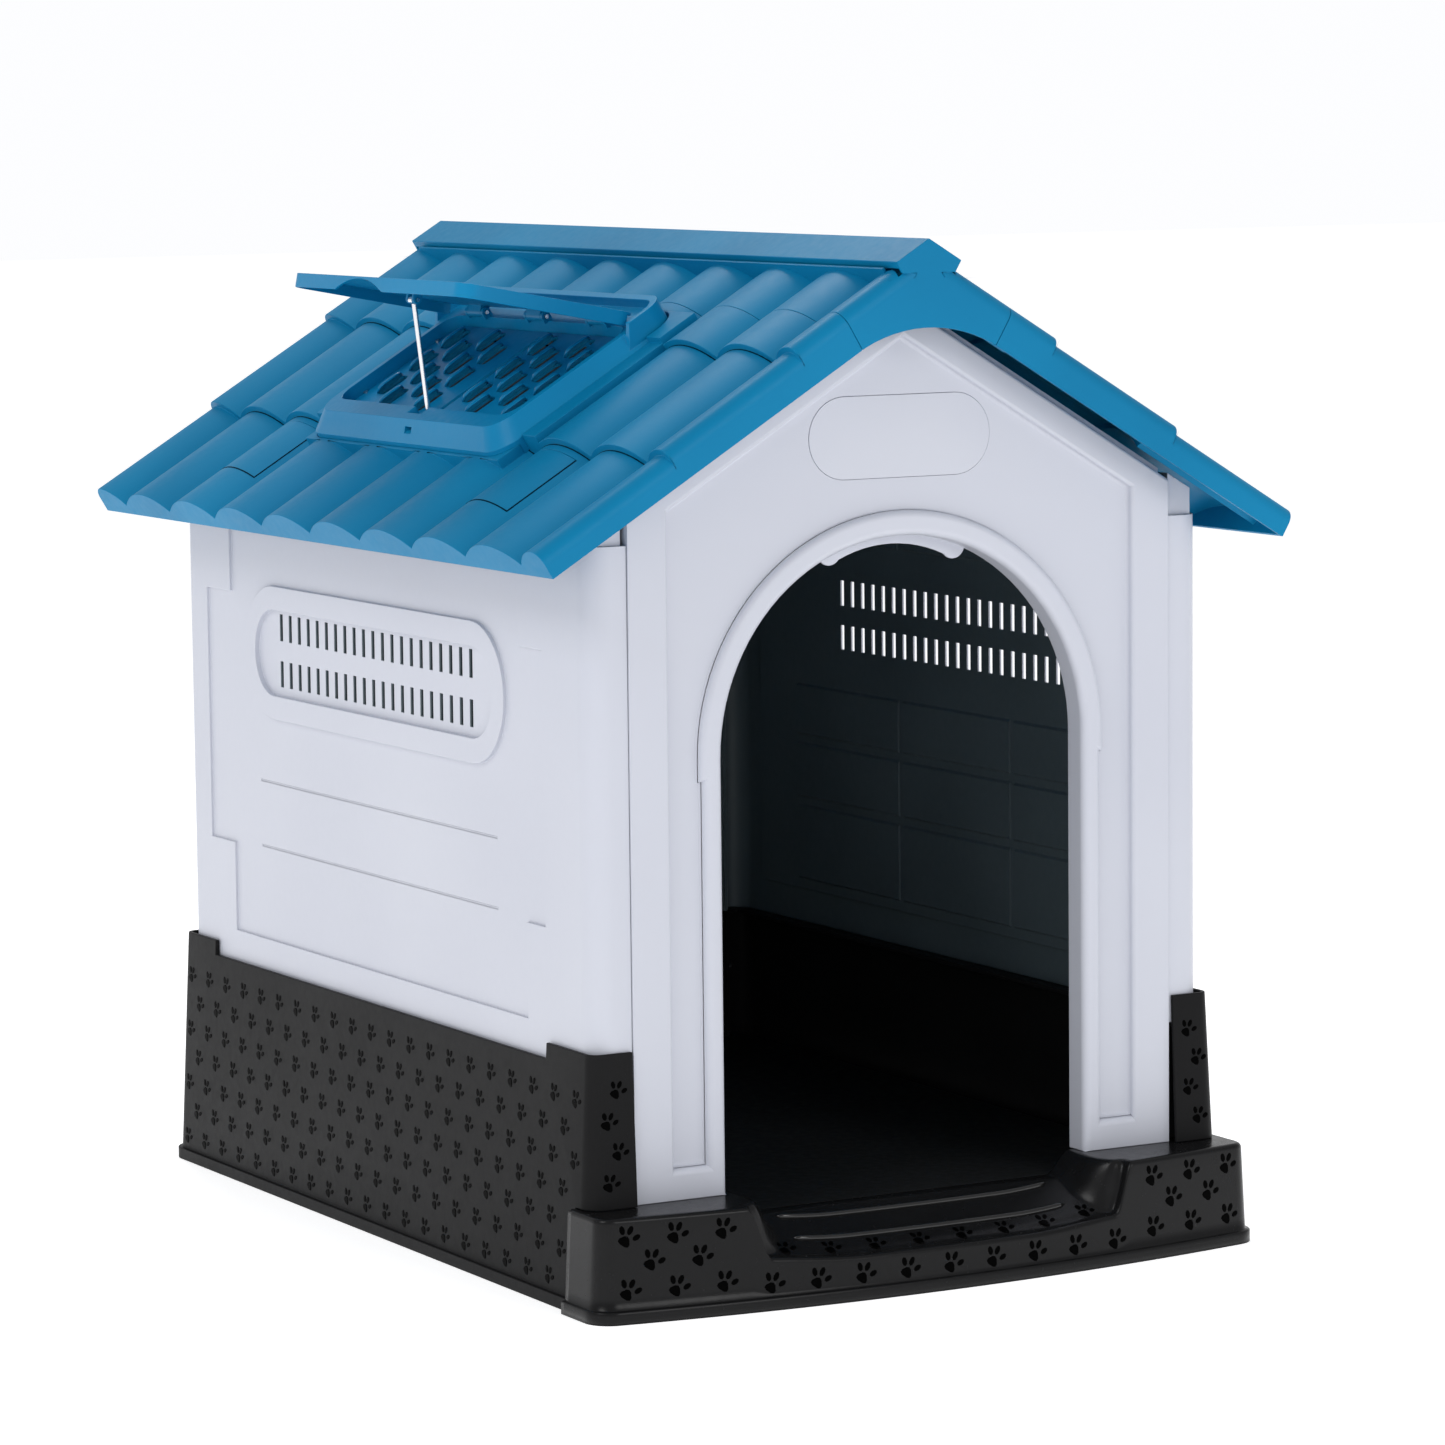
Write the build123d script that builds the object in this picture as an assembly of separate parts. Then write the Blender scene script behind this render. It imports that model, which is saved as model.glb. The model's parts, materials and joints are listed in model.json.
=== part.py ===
from build123d import *
import os
from math import asin, atan2, cos, degrees, hypot, radians, sin, tan

os.makedirs("parts", exist_ok=True)

# ---------------------------------------------------------------- overall sizes (mm)
roof_length = 1016.0        # along Y, front fascia to rear fascia
roof_front = -491.0         # Y of the front fascia face
roof_rear = roof_front + roof_length
ridge_top = 980.0           # top of the ridge cap
roof_pitch = 31.0           # degrees
skin = 4.0                  # wall thickness of every moulded shell
gap = 0.4                   # clearance between mouldings that lie side by side
fit = 0.05                  # radial running clearance of pins and screws

# ---------------------------------------------------------------- roof tiles, in slope coordinates
cap_level = 49.5            # height of the ridge cap above the fascia's lower edge, square to the slope
row_levels = (41.0, 35.0, 28.5)
row_ends = (143.0, 304.0, 461.0)
seam = 84.0                 # where ridge piece and side panel meet, down the slope
cap_half_width = 35.0
tile_pitch = 112.5
tile_count = 8
tile_rise = 17.0            # crest above valley
tile_centre = 10.0          # Y of the middle valley
rim_radius = 15.0           # rolled edge of the barge rims
tongue_length = 15.0        # lip of a side panel that slides under the ridge piece
arch_depth = 24.6           # how far the ridge fascia drops below its peak
arch_margin = 3.0           # arch ends this far inside the seam

# ---------------------------------------------------------------- walls
wall_half_width = 335.0     # outer face of the side walls
wall_front_y = -442.0       # front face of the corner columns
wall_rear_y = 467.0
wall_top = 707.0
seam_x = 295.0              # side wall wraps round to this seam
column_radius = 24.0
field_inset = 3.0           # siding field below the borders
lip_depth = 26.0            # return lips that are screwed together
field_bottom = 257.0
field_top = 690.0
vent_length = 583.0
vent_height = 136.0
vent_z = 554.5
vent_y = 20.5
vent_border = 24.0
slot_count = 21
slot_pitch = 21.4
slot_width = 6.5
slot_rows = ((520.0, 546.0), (567.0, 594.0))
groove_levels = (353.5, 421.0)
top_flange = 34.0
top_lip = 20.0              # gable flanges run this far above the side walls

# ---------------------------------------------------------------- front wall and doorway
panel_front_y = -444.0
face_recess = 8.5           # dished face behind the border and the mouldings
border_half_width = 253.0   # inner edge of the upright borders
gable_band = 27.0           # border below the gable's sloping edges
gable_clearance = 2.0       # gable edge below the roof's fascia line
door_half_width = 197.0
arch_z = 505.0
jamb_depth = 28.0
moulding_width = 24.0       # round the arch
moulding_foot_width = 20.5  # beside the straight jambs
moulding_foot_z = 484.0
plinth_height = 30.0        # flush foot below the dished face
curtain_half_width = 80.0
curtain_drop = 9.0
plate_length = 196.0
plate_height = 77.0
plate_z = 795.0
plate_seat = 2.0            # how deep the name plate sits in the face
plate_proud = 0.4

# ---------------------------------------------------------------- base
base_half_width = 352.0     # at the ground
base_front_y = -458.0
base_rear_y = 483.4
base_taper = 2.79           # degrees
skirt_top = 226.0
post_top = 241.0
post_front_y = -357.0       # skirt drops behind the front posts
post_rear_y = 392.0
base_corner = 24.0
wall_seat = 214.0           # shelf that the walls stand on
shelf_width = 24.0
floor_top = 75.0
floor_seat = 65.0
foot_flange = 4.0
foot_flange_height = 12.0
step_top = 97.0
step_rear_y = -425.0
step_front_y = -523.0       # middle of the bowed front
step_bow = 32.0             # the ends lie this far behind the middle
step_half_width = 360.0
step_corner = 22.0
tread_half_width = 212.0    # between the side blocks, at the front
tread_round = 42.0          # rounded inner corner of a side block
tread_setback = 15.0        # where that corner meets the front, behind its middle
tread_nose = 37.0           # height of the tread's front edge
tread_slope = 25.0          # degrees
rib_places = (-455.0, -489.0)
rib_half_length = 146.0
rib_radius = 3.5
floor_split_y = 10.0

# ---------------------------------------------------------------- skylight, in slope coordinates
sky_y = tile_centre
sky_top = 51.0              # rim of the frame above the fascia line
sky_foot = (100.0, 334.0)
sky_rim = (112.0, 318.0)
sky_hole = (142.0, 297.0)
sky_foot_half = 214.0
sky_rim_half = 198.0
sky_hole_half = 190.0
sky_skirt_level = 33.0
sky_bottom = 4.0
tray_top = 38.0
tray_thickness = 3.0
tray_ledge = 6.0
hood_top = 61.0
hood_reach = 165.0
pad_margin = 28.0           # flat tile land beside the frame
pad_end = 338.0
louvre_length = 33.0
louvre_width = 15.0
louvre_lines = (37.0, 76.0, 115.0, 154.0)
louvre_starts = (166.0, 187.0)
louvre_pitch = 42.0
hinge_u = 141.0
hinge_level = 56.0
hinge_places = (-130.0, 0.0, 130.0)
hinge_pin = 4.0
knuckle_length = 30.0
ear_thickness = 5.0
lid_length = 181.5          # hinge axis to the free edge
lid_tail = 8.0              # behind the hinge axis
lid_half = 194.0
lid_top = 9.5               # above the hinge axis
lid_rim = -4.6
lid_skin = 3.0
lid_corner = 20.0
lid_open = 41.6             # degrees above the roof slope
grip_y = 34.0               # from the middle of the lid
grip_width = 105.0
grip_height = 12.0
rod_diameter = 5.0
rod_y = -8.0                # from the middle of the skylight
rod_reach = 140.0           # pivot, along the lid from the hinge
rod_drop = -6.0
rod_foot = (294.0, 44.0)
rod_pin = 4.0
rod_eye = 9.0

# ---------------------------------------------------------------- fasteners
cover_u = (313.0, 398.0)
cover_half = 43.0
cover_thickness = 3.0
cover_gap = 0.5
cover_places = (-2.5 * tile_pitch, 2.5 * tile_pitch)
roof_screw_x = 318.0
roof_screw_z = 724.0
screw_shaft = 4.2
screw_head = 9.0
head_height = 4.0
ridge_screw = 3.2
ridge_screw_u = 76.0
bolt_shaft = 5.0
bolt_head = 10.0
bolt_levels = (40.0, 150.0)
corner_screw_levels = (260.0, 430.0, 600.0)
pad_radius = 20.0
pad_height = 6.0

# ---------------------------------------------------------------- slope coordinates
pitch_cos = cos(radians(roof_pitch))
pitch_sin = sin(radians(roof_pitch))
apex_z = ridge_top - cap_level / pitch_cos
arch_half_width = seam * pitch_cos - arch_margin


def on_slope(u, y, n):
    """Point of the right-hand slope: u down the slope, n square to it."""
    return Vector(u * pitch_cos + n * pitch_sin, y, apex_z - u * pitch_sin + n * pitch_cos)


def slope_plane(u=0.0, y=0.0, n=0.0):
    """Local X down the slope, local Y along the roof, local Z square to the slope."""
    return Plane(on_slope(u, y, n), x_dir=(pitch_cos, 0, -pitch_sin), z_dir=(pitch_sin, 0, pitch_cos))


def section_plane(u):
    """Local X along the roof, local Y square to the slope, local Z down the slope."""
    return Plane(on_slope(u, 0, 0), x_dir=(0, 1, 0), z_dir=(pitch_cos, 0, -pitch_sin))


def slope_box(u0, u1, y0, y1, n0, n1):
    """Box with its edges along the slope's own directions."""
    size = Box(u1 - u0, y1 - y0, n1 - n0, align=(Align.MIN, Align.MIN, Align.MIN))
    return slope_plane() * (Pos(u0, y0, n0) * size)


def block(x0, x1, y0, y1, z0, z1):
    """Upright box from its two corners."""
    size = Box(x1 - x0, y1 - y0, z1 - z0, align=(Align.MIN, Align.MIN, Align.MIN))
    return Pos(x0, y0, z0) * size


def left_of(shape):
    """The same shape on the other side of the ridge."""
    return mirror(shape, about=Plane.YZ)


def upright_prism(points, axis_plane, start, length):
    """Closed polygon in a plane, drawn out along the plane's normal."""
    face = make_face(Polyline(*points, close=True))
    return extrude(axis_plane.offset(start) * face, amount=length)


# ---------------------------------------------------------------- roof
def tile_outline(level, inset, bottom):
    """Cross-section of the roof across the tiles: rolled rims, cusped valleys, rounded crests."""
    crest = level - inset
    valley = crest - tile_rise
    front = roof_front + inset
    rear = roof_rear - inset
    roll = rim_radius - inset
    first = tile_centre - tile_pitch * tile_count / 2
    last = tile_centre + tile_pitch * tile_count / 2
    edges = [Line((front, bottom), (front, crest - roll))]
    edges.append(RadiusArc((front, crest - roll), (front + roll, crest), roll))
    edges.append(rim_arc(front + roll, crest, first, valley))
    for i in range(tile_count):
        start = first + i * tile_pitch
        middle = (start + tile_pitch / 2, crest)
        edges.append(ThreePointArc((start, valley), middle, (start + tile_pitch, valley)))
    edges.append(rim_arc(rear - roll, crest, last, valley))
    edges.append(RadiusArc((rear - roll, crest), (rear, crest - roll), roll))
    edges.append(Line((rear, crest - roll), (rear, bottom)))
    edges.append(Line((rear, bottom), (front, bottom)))
    return make_face(edges)


def rim_arc(crest_y, crest, valley_y, valley):
    """Arc that leaves the rim's crest level and falls to the nearest valley."""
    reach = valley_y - crest_y
    radius = (reach ** 2 + tile_rise ** 2) / (2 * tile_rise)
    half = asin(abs(reach) / radius) / 2
    side = 1 if reach > 0 else -1
    middle = (crest_y + side * radius * sin(half), crest - radius + radius * cos(half))
    ends = ((crest_y, crest), (valley_y, valley)) if reach > 0 else ((valley_y, valley), (crest_y, crest))
    return ThreePointArc(ends[0], middle, ends[1])


def tile_block(level, u0, u1, inset=0.0, bottom=0.0):
    """Solid length of tiled roof between two places down the slope."""
    face = section_plane(u0) * tile_outline(level, inset, bottom)
    return extrude(face, amount=u1 - u0)


def cover_band(y, margin, top_drop, bottom_drop):
    """Curved slab that follows the tile crest between two depths."""
    u0, u1 = cover_u
    level = row_levels[2]
    reach = slope_box(u0 - margin, u1 + margin, tile_centre + y - cover_half - margin,
                      tile_centre + y + cover_half + margin, -30, 60)
    upper = tile_block(level, u0 - margin, u1 + margin, top_drop, -40)
    lower = tile_block(level, u0 - margin - 1, u1 + margin + 1, bottom_drop, -41)
    return reach & (upper - lower)


def roof_boss(y):
    """Screw boss from the wall's top flange up to the roof skin."""
    post = Pos(roof_screw_x, tile_centre + y, wall_top) * Cylinder(
        screw_head / 2 + 3 + skin, 80, align=(Align.CENTER, Align.CENTER, Align.MIN))
    return post & tile_block(row_levels[2], row_ends[1], row_ends[2], 1, -90)


def roof_boss_bore(y):
    """Head pocket and shaft hole of a roof screw."""
    place = Pos(roof_screw_x, tile_centre + y, 0)
    pocket = Pos(0, 0, roof_screw_z) * Cylinder(
        screw_head / 2 + 2, 60, align=(Align.CENTER, Align.CENTER, Align.MIN))
    shaft = Pos(0, 0, wall_top - 1) * Cylinder(
        screw_shaft / 2 + fit, 60, align=(Align.CENTER, Align.CENTER, Align.MIN))
    return place * (pocket + shaft)


def make_roof_panel():
    """Three overlapping tile rows, fascias, tongue, screw bosses and cover seats."""
    row1, row2, row3 = row_levels
    end1, end2, end3 = row_ends
    under = skin + gap
    panel = tile_block(row1, seam + gap / 2, end1)
    panel += tile_block(row2, end1 - skin, end2)
    panel += tile_block(row3, end2 - skin, end3)
    panel += tile_block(row1, seam - tongue_length, seam + tongue_length, under)
    hollow = tile_block(row1, seam - tongue_length - 1, seam + tongue_length, under + lid_skin, -1)
    hollow += tile_block(row1, seam, end1 - skin, under + lid_skin, -1)
    hollow += tile_block(row1, seam + tongue_length - 1, end1 - skin, skin, -1)
    hollow += tile_block(row2, end1 - skin - 1, end2 - skin, skin, -1)
    hollow += tile_block(row3, end2 - skin - 1, end3 - skin, skin, -1)
    panel -= hollow
    for y in cover_places:
        panel += cover_band(y, skin, 1, cover_thickness + 2 * skin)
        panel += roof_boss(y)
        panel -= cover_band(y, cover_gap, -1, cover_thickness + 0.1)
        panel -= roof_boss_bore(y)
    for y in ridge_screw_places():
        panel -= ridge_screw_solid(y, fit, 30)
    return panel


def make_tile_covers():
    """Four curved plugs that hide the roof screws."""
    right = [cover_band(y, 0, 0, cover_thickness) for y in cover_places]
    return right + [left_of(cover) for cover in right]


def ridge_screw_places():
    """Screws on every second tile crest."""
    first = tile_centre - tile_pitch * (tile_count - 1) / 2
    return [first + 2 * i * tile_pitch for i in range(tile_count // 2)]


def ridge_screw_solid(y, clearance=0.0, head_extra=0.0):
    """Screw driven from below through the tongue into the ridge piece."""
    tip = row_levels[0] - 0.8
    seat = row_levels[0] - 2 * skin - gap - head_extra
    plane = slope_plane(ridge_screw_u, y, 0)
    shaft_radius = ridge_screw / 2 + clearance
    shaft = Pos(0, 0, seat) * Cylinder(
        shaft_radius, tip - seat + clearance, align=(Align.CENTER, Align.CENTER, Align.MIN))
    if head_extra:
        return plane * shaft
    head = Pos(0, 0, seat - 2.6) * Cylinder(
        ridge_screw, 3.0, align=(Align.CENTER, Align.CENTER, Align.MIN))
    return plane * (shaft + head)


def make_ridge():
    """Ridge cap with the upper tile ends of both slopes and arched fascias."""
    row1 = row_levels[0]
    side = tile_block(row1, -25, seam - gap / 2)
    hollow = tile_block(row1, -20, seam + 1, skin, -1)
    cap_u = (cap_half_width - cap_level * pitch_sin) / pitch_cos
    corner = on_slope(cap_u, 0, cap_level)
    root = on_slope(cap_u, 0, row1 - skin)
    points = [(0, ridge_top), (corner.X, corner.Z), (root.X, root.Z), (0, root.Z)]
    points += [(-root.X, root.Z), (-corner.X, corner.Z)]
    across = Plane.XZ
    cap = upright_prism(points, across, -roof_rear, roof_length)
    drop = skin / pitch_cos
    bore = [(0, ridge_top - drop), (corner.X - skin, corner.Z - drop + skin * tan(radians(roof_pitch)))]
    bore += [(corner.X - skin, root.Z - 6), (skin - corner.X, root.Z - 6), (-bore[1][0], bore[1][1])]
    cap_bore = upright_prism(bore, across, -roof_rear + skin, roof_length - 2 * skin)
    ridge = side + left_of(side) + cap
    ridge -= hollow
    ridge -= left_of(hollow)
    ridge -= cap_bore
    edge_z = apex_z - arch_half_width * tan(radians(roof_pitch))
    peak_z = apex_z - arch_depth
    rim = Line((-arch_half_width, edge_z), (0, apex_z + 2))
    rim2 = Line((0, apex_z + 2), (arch_half_width, edge_z))
    arch = ThreePointArc((arch_half_width, edge_z), (0, peak_z), (-arch_half_width, edge_z))
    filler = make_face([rim, rim2, arch])
    ridge += extrude(across.offset(-roof_front - skin) * filler, amount=skin)
    ridge += extrude(across.offset(-roof_rear) * filler, amount=skin)
    for y in ridge_screw_places():
        hole = ridge_screw_solid(y, fit, 30)
        ridge -= hole
        ridge -= left_of(hole)
    return ridge


def cut_skylight_opening(panel):
    """Flat land round the skylight, and the hole its skirt drops through."""
    y0 = sky_y - sky_foot_half - pad_margin
    y1 = sky_y + sky_foot_half + pad_margin
    row1, row2, row3 = row_levels
    end1, end2 = row_ends[:2]
    u0 = sky_foot[0] - 2
    panel += slope_box(u0, end1, y0, y1, row1 - tile_rise - skin, row1)
    panel += slope_box(end1 - skin, end2, y0, y1, row2 - tile_rise - skin, row2)
    land = slope_box(end2 - skin, pad_end, y0 + pad_margin, y1 - pad_margin, row3 - tile_rise - skin, row3)
    panel += land
    margin = gap + 0.1
    return panel - skirt_solid(sky_bottom - 20, 80, margin)


def skirt_solid(n0, n1, margin):
    """Rounded rectangular plug with the outline of the skylight's skirt."""
    u0, u1 = sky_foot
    outline = RectangleRounded(u1 - u0 + 2 * margin, 2 * (sky_foot_half + margin), 30 + margin)
    plane = slope_plane((u0 + u1) / 2, sky_y, n0)
    return extrude(plane * outline, amount=n1 - n0)


# ---------------------------------------------------------------- skylight
def make_skylight_frame():
    """Flared curb with a raised hood at the hinge, a tray ledge and hinge ears."""
    foot_mid = (sky_foot[0] + sky_foot[1]) / 2
    rim_mid = (sky_rim[0] + sky_rim[1]) / 2
    frame = skirt_solid(sky_bottom, sky_skirt_level, 0)
    foot = RectangleRounded(sky_foot[1] - sky_foot[0], 2 * sky_foot_half, 30)
    rim = RectangleRounded(sky_rim[1] - sky_rim[0], 2 * sky_rim_half, 26)
    lower = slope_plane(foot_mid, sky_y, sky_skirt_level) * foot
    upper = slope_plane(rim_mid, sky_y, sky_top) * rim
    frame += loft([lower, upper])
    frame += hood_curb()
    u0, u1 = sky_hole
    y0, y1 = sky_y - sky_hole_half, sky_y + sky_hole_half
    seat = tray_top - tray_thickness
    hole = RectangleRounded(u1 - u0, y1 - y0, 20)
    frame -= extrude(slope_plane((u0 + u1) / 2, sky_y, seat) * hole, amount=60)
    inner = RectangleRounded(u1 - u0 - 2 * tray_ledge, y1 - y0 - 2 * tray_ledge, 14)
    frame -= extrude(slope_plane((u0 + u1) / 2, sky_y, 0) * inner, amount=60)
    frame -= frame_hollows(u0, u1, y0, y1, seat)
    rod = sky_y + rod_y
    frame -= slope_box(u1 - 8, u1 + 11, rod - 15, rod + 15, rod_foot[1] - 1, 80)
    latch = slope_box(u1 + 12, u1 + 60, sky_y - 22, sky_y - 8, 40, 45)
    frame -= latch
    for y in hinge_places:
        frame += hinge_ears(sky_y + y)
    for y in grille_screw_places():
        frame -= grille_screw_solid(*y, fit, True)
    return frame


def hood_curb():
    """Low wall that wraps the hinge end and falls away towards the rim."""
    u0 = sky_foot[0]
    outline = slope_box(u0 + 2, hood_reach, sky_y - sky_foot_half + 4, sky_y + sky_foot_half - 4,
                        sky_skirt_level - 2, hood_top)
    rounded = RectangleRounded(2 * (hood_reach - u0 - 2), 2 * sky_foot_half - 8, 26)
    outer = extrude(slope_plane(hood_reach, sky_y, 0) * rounded, amount=90)
    cavity = RectangleRounded(2 * (hood_reach - u0 - 2 - 8), 2 * sky_foot_half - 22, 19)
    inner = extrude(slope_plane(hood_reach, sky_y, sky_top) * cavity, amount=90)
    curb = (outline & outer) - inner
    fall = degrees(atan2(hood_top - sky_skirt_level, hood_reach - hinge_u - 8))
    cutter = Pos(0, -300, 0) * Box(200, 600, 60, align=(Align.MIN, Align.MIN, Align.MIN))
    plane = slope_plane(hinge_u + 8, sky_y, hood_top)
    return curb - plane * (Rot(0, fall, 0) * cutter)


def frame_hollows(u0, u1, y0, y1, seat):
    """Space under the deck, the rails and the side flares."""
    low = sky_bottom - 1
    deck = sky_top - skin
    foot0 = sky_foot[0] + skin + 2
    foot1 = sky_foot[1] - skin
    side0 = sky_y - sky_foot_half + skin
    side1 = sky_y + sky_foot_half - skin
    hollow = slope_box(sky_rim[0] + skin, u0 - skin, y0 + 20, y1 - 20, low, deck)
    hollow += slope_box(foot0, u0, side0 + 26, side1 - 26, low, seat - skin)
    hollow += slope_box(u0 - 10, foot1 - 26, side0, side1, low, seat - skin)
    hollow += slope_box(foot1 - 30, foot1, side0 + 26, side1 - 26, low, seat - skin)
    return hollow


def hinge_ears(y):
    """Two ears with a pin hole, standing on the frame's deck."""
    half = knuckle_length / 2 + gap
    radius = hinge_pin / 2 + 3
    pair = []
    for side in (-1, 1):
        start = y + side * half if side > 0 else y - half - ear_thickness
        barrel_plane = Plane(on_slope(hinge_u, start, hinge_level), x_dir=(pitch_cos, 0, -pitch_sin),
                             z_dir=(0, 1, 0))
        barrel = extrude(barrel_plane * Circle(radius), amount=ear_thickness)
        foot = slope_box(hinge_u - radius, hinge_u + radius, start, start + ear_thickness,
                         sky_top - 1, hinge_level)
        hole = extrude(barrel_plane.offset(-1) * Circle(hinge_pin / 2 + fit), amount=ear_thickness + 2)
        pair.append(barrel + foot - hole)
    return pair[0] + pair[1]


def make_hinge_pins():
    """Three steel pins, one through each pair of ears."""
    pins = []
    half = knuckle_length / 2 + gap + ear_thickness + 1
    for y in hinge_places:
        plane = Plane(on_slope(hinge_u, sky_y + y - half, hinge_level), x_dir=(1, 0, 0), z_dir=(0, 1, 0))
        pins.append(extrude(plane * Circle(hinge_pin / 2), amount=2 * half))
    return pins


def grille_screw_places():
    """Four screws near the tray's corners, as places down and along the slope."""
    u0, u1 = sky_hole
    reach = sky_hole_half - tray_ledge / 2
    return [(u, sky_y + side * reach) for u in (u0 + 30, u1 - 30) for side in (-1, 1)]


def grille_screw_solid(u, y, clearance, is_hole):
    """Small pan-head screw through the tray into the ledge."""
    plane = slope_plane(u, y, 0)
    depth = tray_thickness + skin - 1.2
    shaft = Pos(0, 0, tray_top - depth) * Cylinder(
        1.2 + clearance, depth, align=(Align.CENTER, Align.CENTER, Align.MIN))
    if is_hole:
        return plane * shaft
    head = Pos(0, 0, tray_top) * Cylinder(2.4, 1.6, align=(Align.CENTER, Align.CENTER, Align.MIN))
    return plane * (shaft + head)


def louvre_places():
    """Centres of the louvre slots, as places down and along the slope."""
    places = []
    for side in (-1, 1):
        for i, offset in enumerate(louvre_lines):
            start = louvre_starts[(i + (side > 0)) % 2]
            for k in range(3):
                places.append((start + k * louvre_pitch, sky_y + side * offset))
    return places


def make_grille():
    """Louvred tray in the skylight, with a slot that lets the prop rod swing."""
    u0, u1 = sky_hole
    outline = RectangleRounded(u1 - u0 - 2 * gap, 2 * (sky_hole_half - gap), 20 - gap)
    seat = tray_top - tray_thickness
    tray = extrude(slope_plane((u0 + u1) / 2, sky_y, seat) * outline, amount=tray_thickness)
    for u, y in louvre_places():
        hole = RectangleRounded(louvre_length, louvre_width, 5)
        tray -= extrude(slope_plane(u, y, seat - 1) * hole, amount=tray_thickness + 2)
    half = rod_diameter / 2 + 1.2
    rod = sky_y + rod_y
    tray -= slope_box(u0 + 10, u1 + 1, rod - half, rod + half, seat - 1, tray_top + 1)
    tray -= slope_box(u1 - 10, u1 + 1, rod - 15, rod + 15, tray_top - 0.01, tray_top + 1)
    for place in grille_screw_places():
        tray -= grille_screw_solid(*place, fit, True)
    return tray


def lid_box(s0, s1, y0, y1, t0, t1):
    """Box in the lid's own directions: s from the hinge, t above its axis."""
    size = Box(s1 - s0, y1 - y0, t1 - t0, align=(Align.MIN, Align.MIN, Align.MIN))
    return Pos(s0, y0, t0) * size


def place_lid(shape):
    """Swing a closed lid open and carry it to the left-hand slope."""
    opened = Rot(0, -lid_open, 0) * shape
    return left_of(slope_plane(hinge_u, sky_y, hinge_level) * opened)


def cross_cylinder(radius, s, t, y0, length):
    """Cylinder along Y in the lid's own directions."""
    plane = Plane((s, y0, t), x_dir=(1, 0, 0), z_dir=(0, 1, 0))
    return extrude(plane * Circle(radius), amount=length)


def make_lid():
    """Shallow rounded tray lid with a finger grip, knuckles and rod lugs."""
    height = lid_top - lid_rim
    whole = lid_length + lid_tail
    outline = RectangleRounded(whole, 2 * lid_half, lid_corner)
    inner = RectangleRounded(whole - 2 * lid_skin, 2 * (lid_half - lid_skin), lid_corner - lid_skin)
    centre = (lid_length - lid_tail) / 2
    lid = Pos(centre, 0, lid_rim) * extrude(outline, amount=height)
    lid -= Pos(centre, 0, lid_rim - 1) * extrude(inner, amount=height + 1 - lid_skin)
    lid -= lid_box(-20, 2, -lid_half - 1, lid_half + 1, lid_rim - 1, lid_top - lid_skin)
    grip_plane = Plane((lid_length - 12, grip_y, lid_rim), x_dir=(0, 1, 0), z_dir=(1, 0, 0))
    radius = (grip_width ** 2 / 4 + grip_height ** 2) / (2 * grip_height)
    scoop = Pos(0, grip_height - radius) * Circle(radius)
    lid -= extrude(grip_plane * scoop, amount=30)
    barrel_radius = hinge_pin / 2 + 3
    half = knuckle_length / 2
    for y in hinge_places:
        lid += cross_cylinder(barrel_radius, 0, 0, y - half, knuckle_length)
        lid += lid_box(-barrel_radius, barrel_radius, y - half, y + half, 0, lid_top - lid_skin + 0.5)
        lid -= cross_cylinder(hinge_pin / 2 + fit, 0, 0, y - half - 1, knuckle_length + 2)
    for side in (-1, 1):
        edge = rod_y + side * 6.5
        lid += lid_box(rod_reach - 5, rod_reach + 5, edge - 2, edge + 2, rod_drop - 1, lid_top - lid_skin + 0.5)
        lid += cross_cylinder(5, rod_reach, rod_drop + 1, edge - 2, 4)
    lid -= cross_cylinder(rod_pin / 2 + fit, rod_reach, rod_drop, rod_y - 20, 40)
    return lid


def rod_end():
    """Free end of the rod in the lid's own directions."""
    du = rod_foot[0] - hinge_u
    dn = rod_foot[1] - hinge_level
    turn = radians(lid_open)
    return du * cos(turn) + dn * sin(turn), -du * sin(turn) + dn * cos(turn)


def make_prop_rod():
    """Steel rod with a flattened eye at the lid."""
    s1, t1 = rod_end()
    length = hypot(s1 - rod_reach, t1 - rod_drop)
    tilt = degrees(atan2(t1 - rod_drop, s1 - rod_reach))
    rod = Rot(0, 90, 0) * Cylinder(rod_diameter / 2, length, align=(Align.CENTER, Align.CENTER, Align.MIN))
    rod = Pos(rod_reach, rod_y, rod_drop) * (Rot(0, -tilt, 0) * rod)
    rod += cross_cylinder(rod_eye / 2, rod_reach, rod_drop, rod_y - 4, 8)
    rod -= cross_cylinder(rod_pin / 2 + fit, rod_reach, rod_drop, rod_y - 10, 20)
    return rod


def make_rod_pin():
    """Pin through the lid's lugs and the rod's eye."""
    return cross_cylinder(rod_pin / 2, rod_reach, rod_drop, rod_y - 10, 20)


# ---------------------------------------------------------------- walls
def wall_plan(inset):
    """Plan of a right-hand side wall that wraps both corners, as a solid outline."""
    x1 = wall_half_width - inset
    y0 = wall_front_y + inset
    y1 = wall_rear_y - inset
    outline = Rectangle(2 * x1, y1 - y0)
    rounded = fillet(outline.vertices(), column_radius - inset)
    return Pos(0, (y0 + y1) / 2) * rounded


def field_outline():
    """Stepped outline of the siding field, in Y and Z."""
    return [(-300, field_top), (-300, 606), (-349, 606), (-349, 348), (-311, 348), (-311, field_bottom),
            (350, field_bottom), (350, 349), (408, 349), (408, 610), (350, 610), (350, field_top)]


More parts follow.
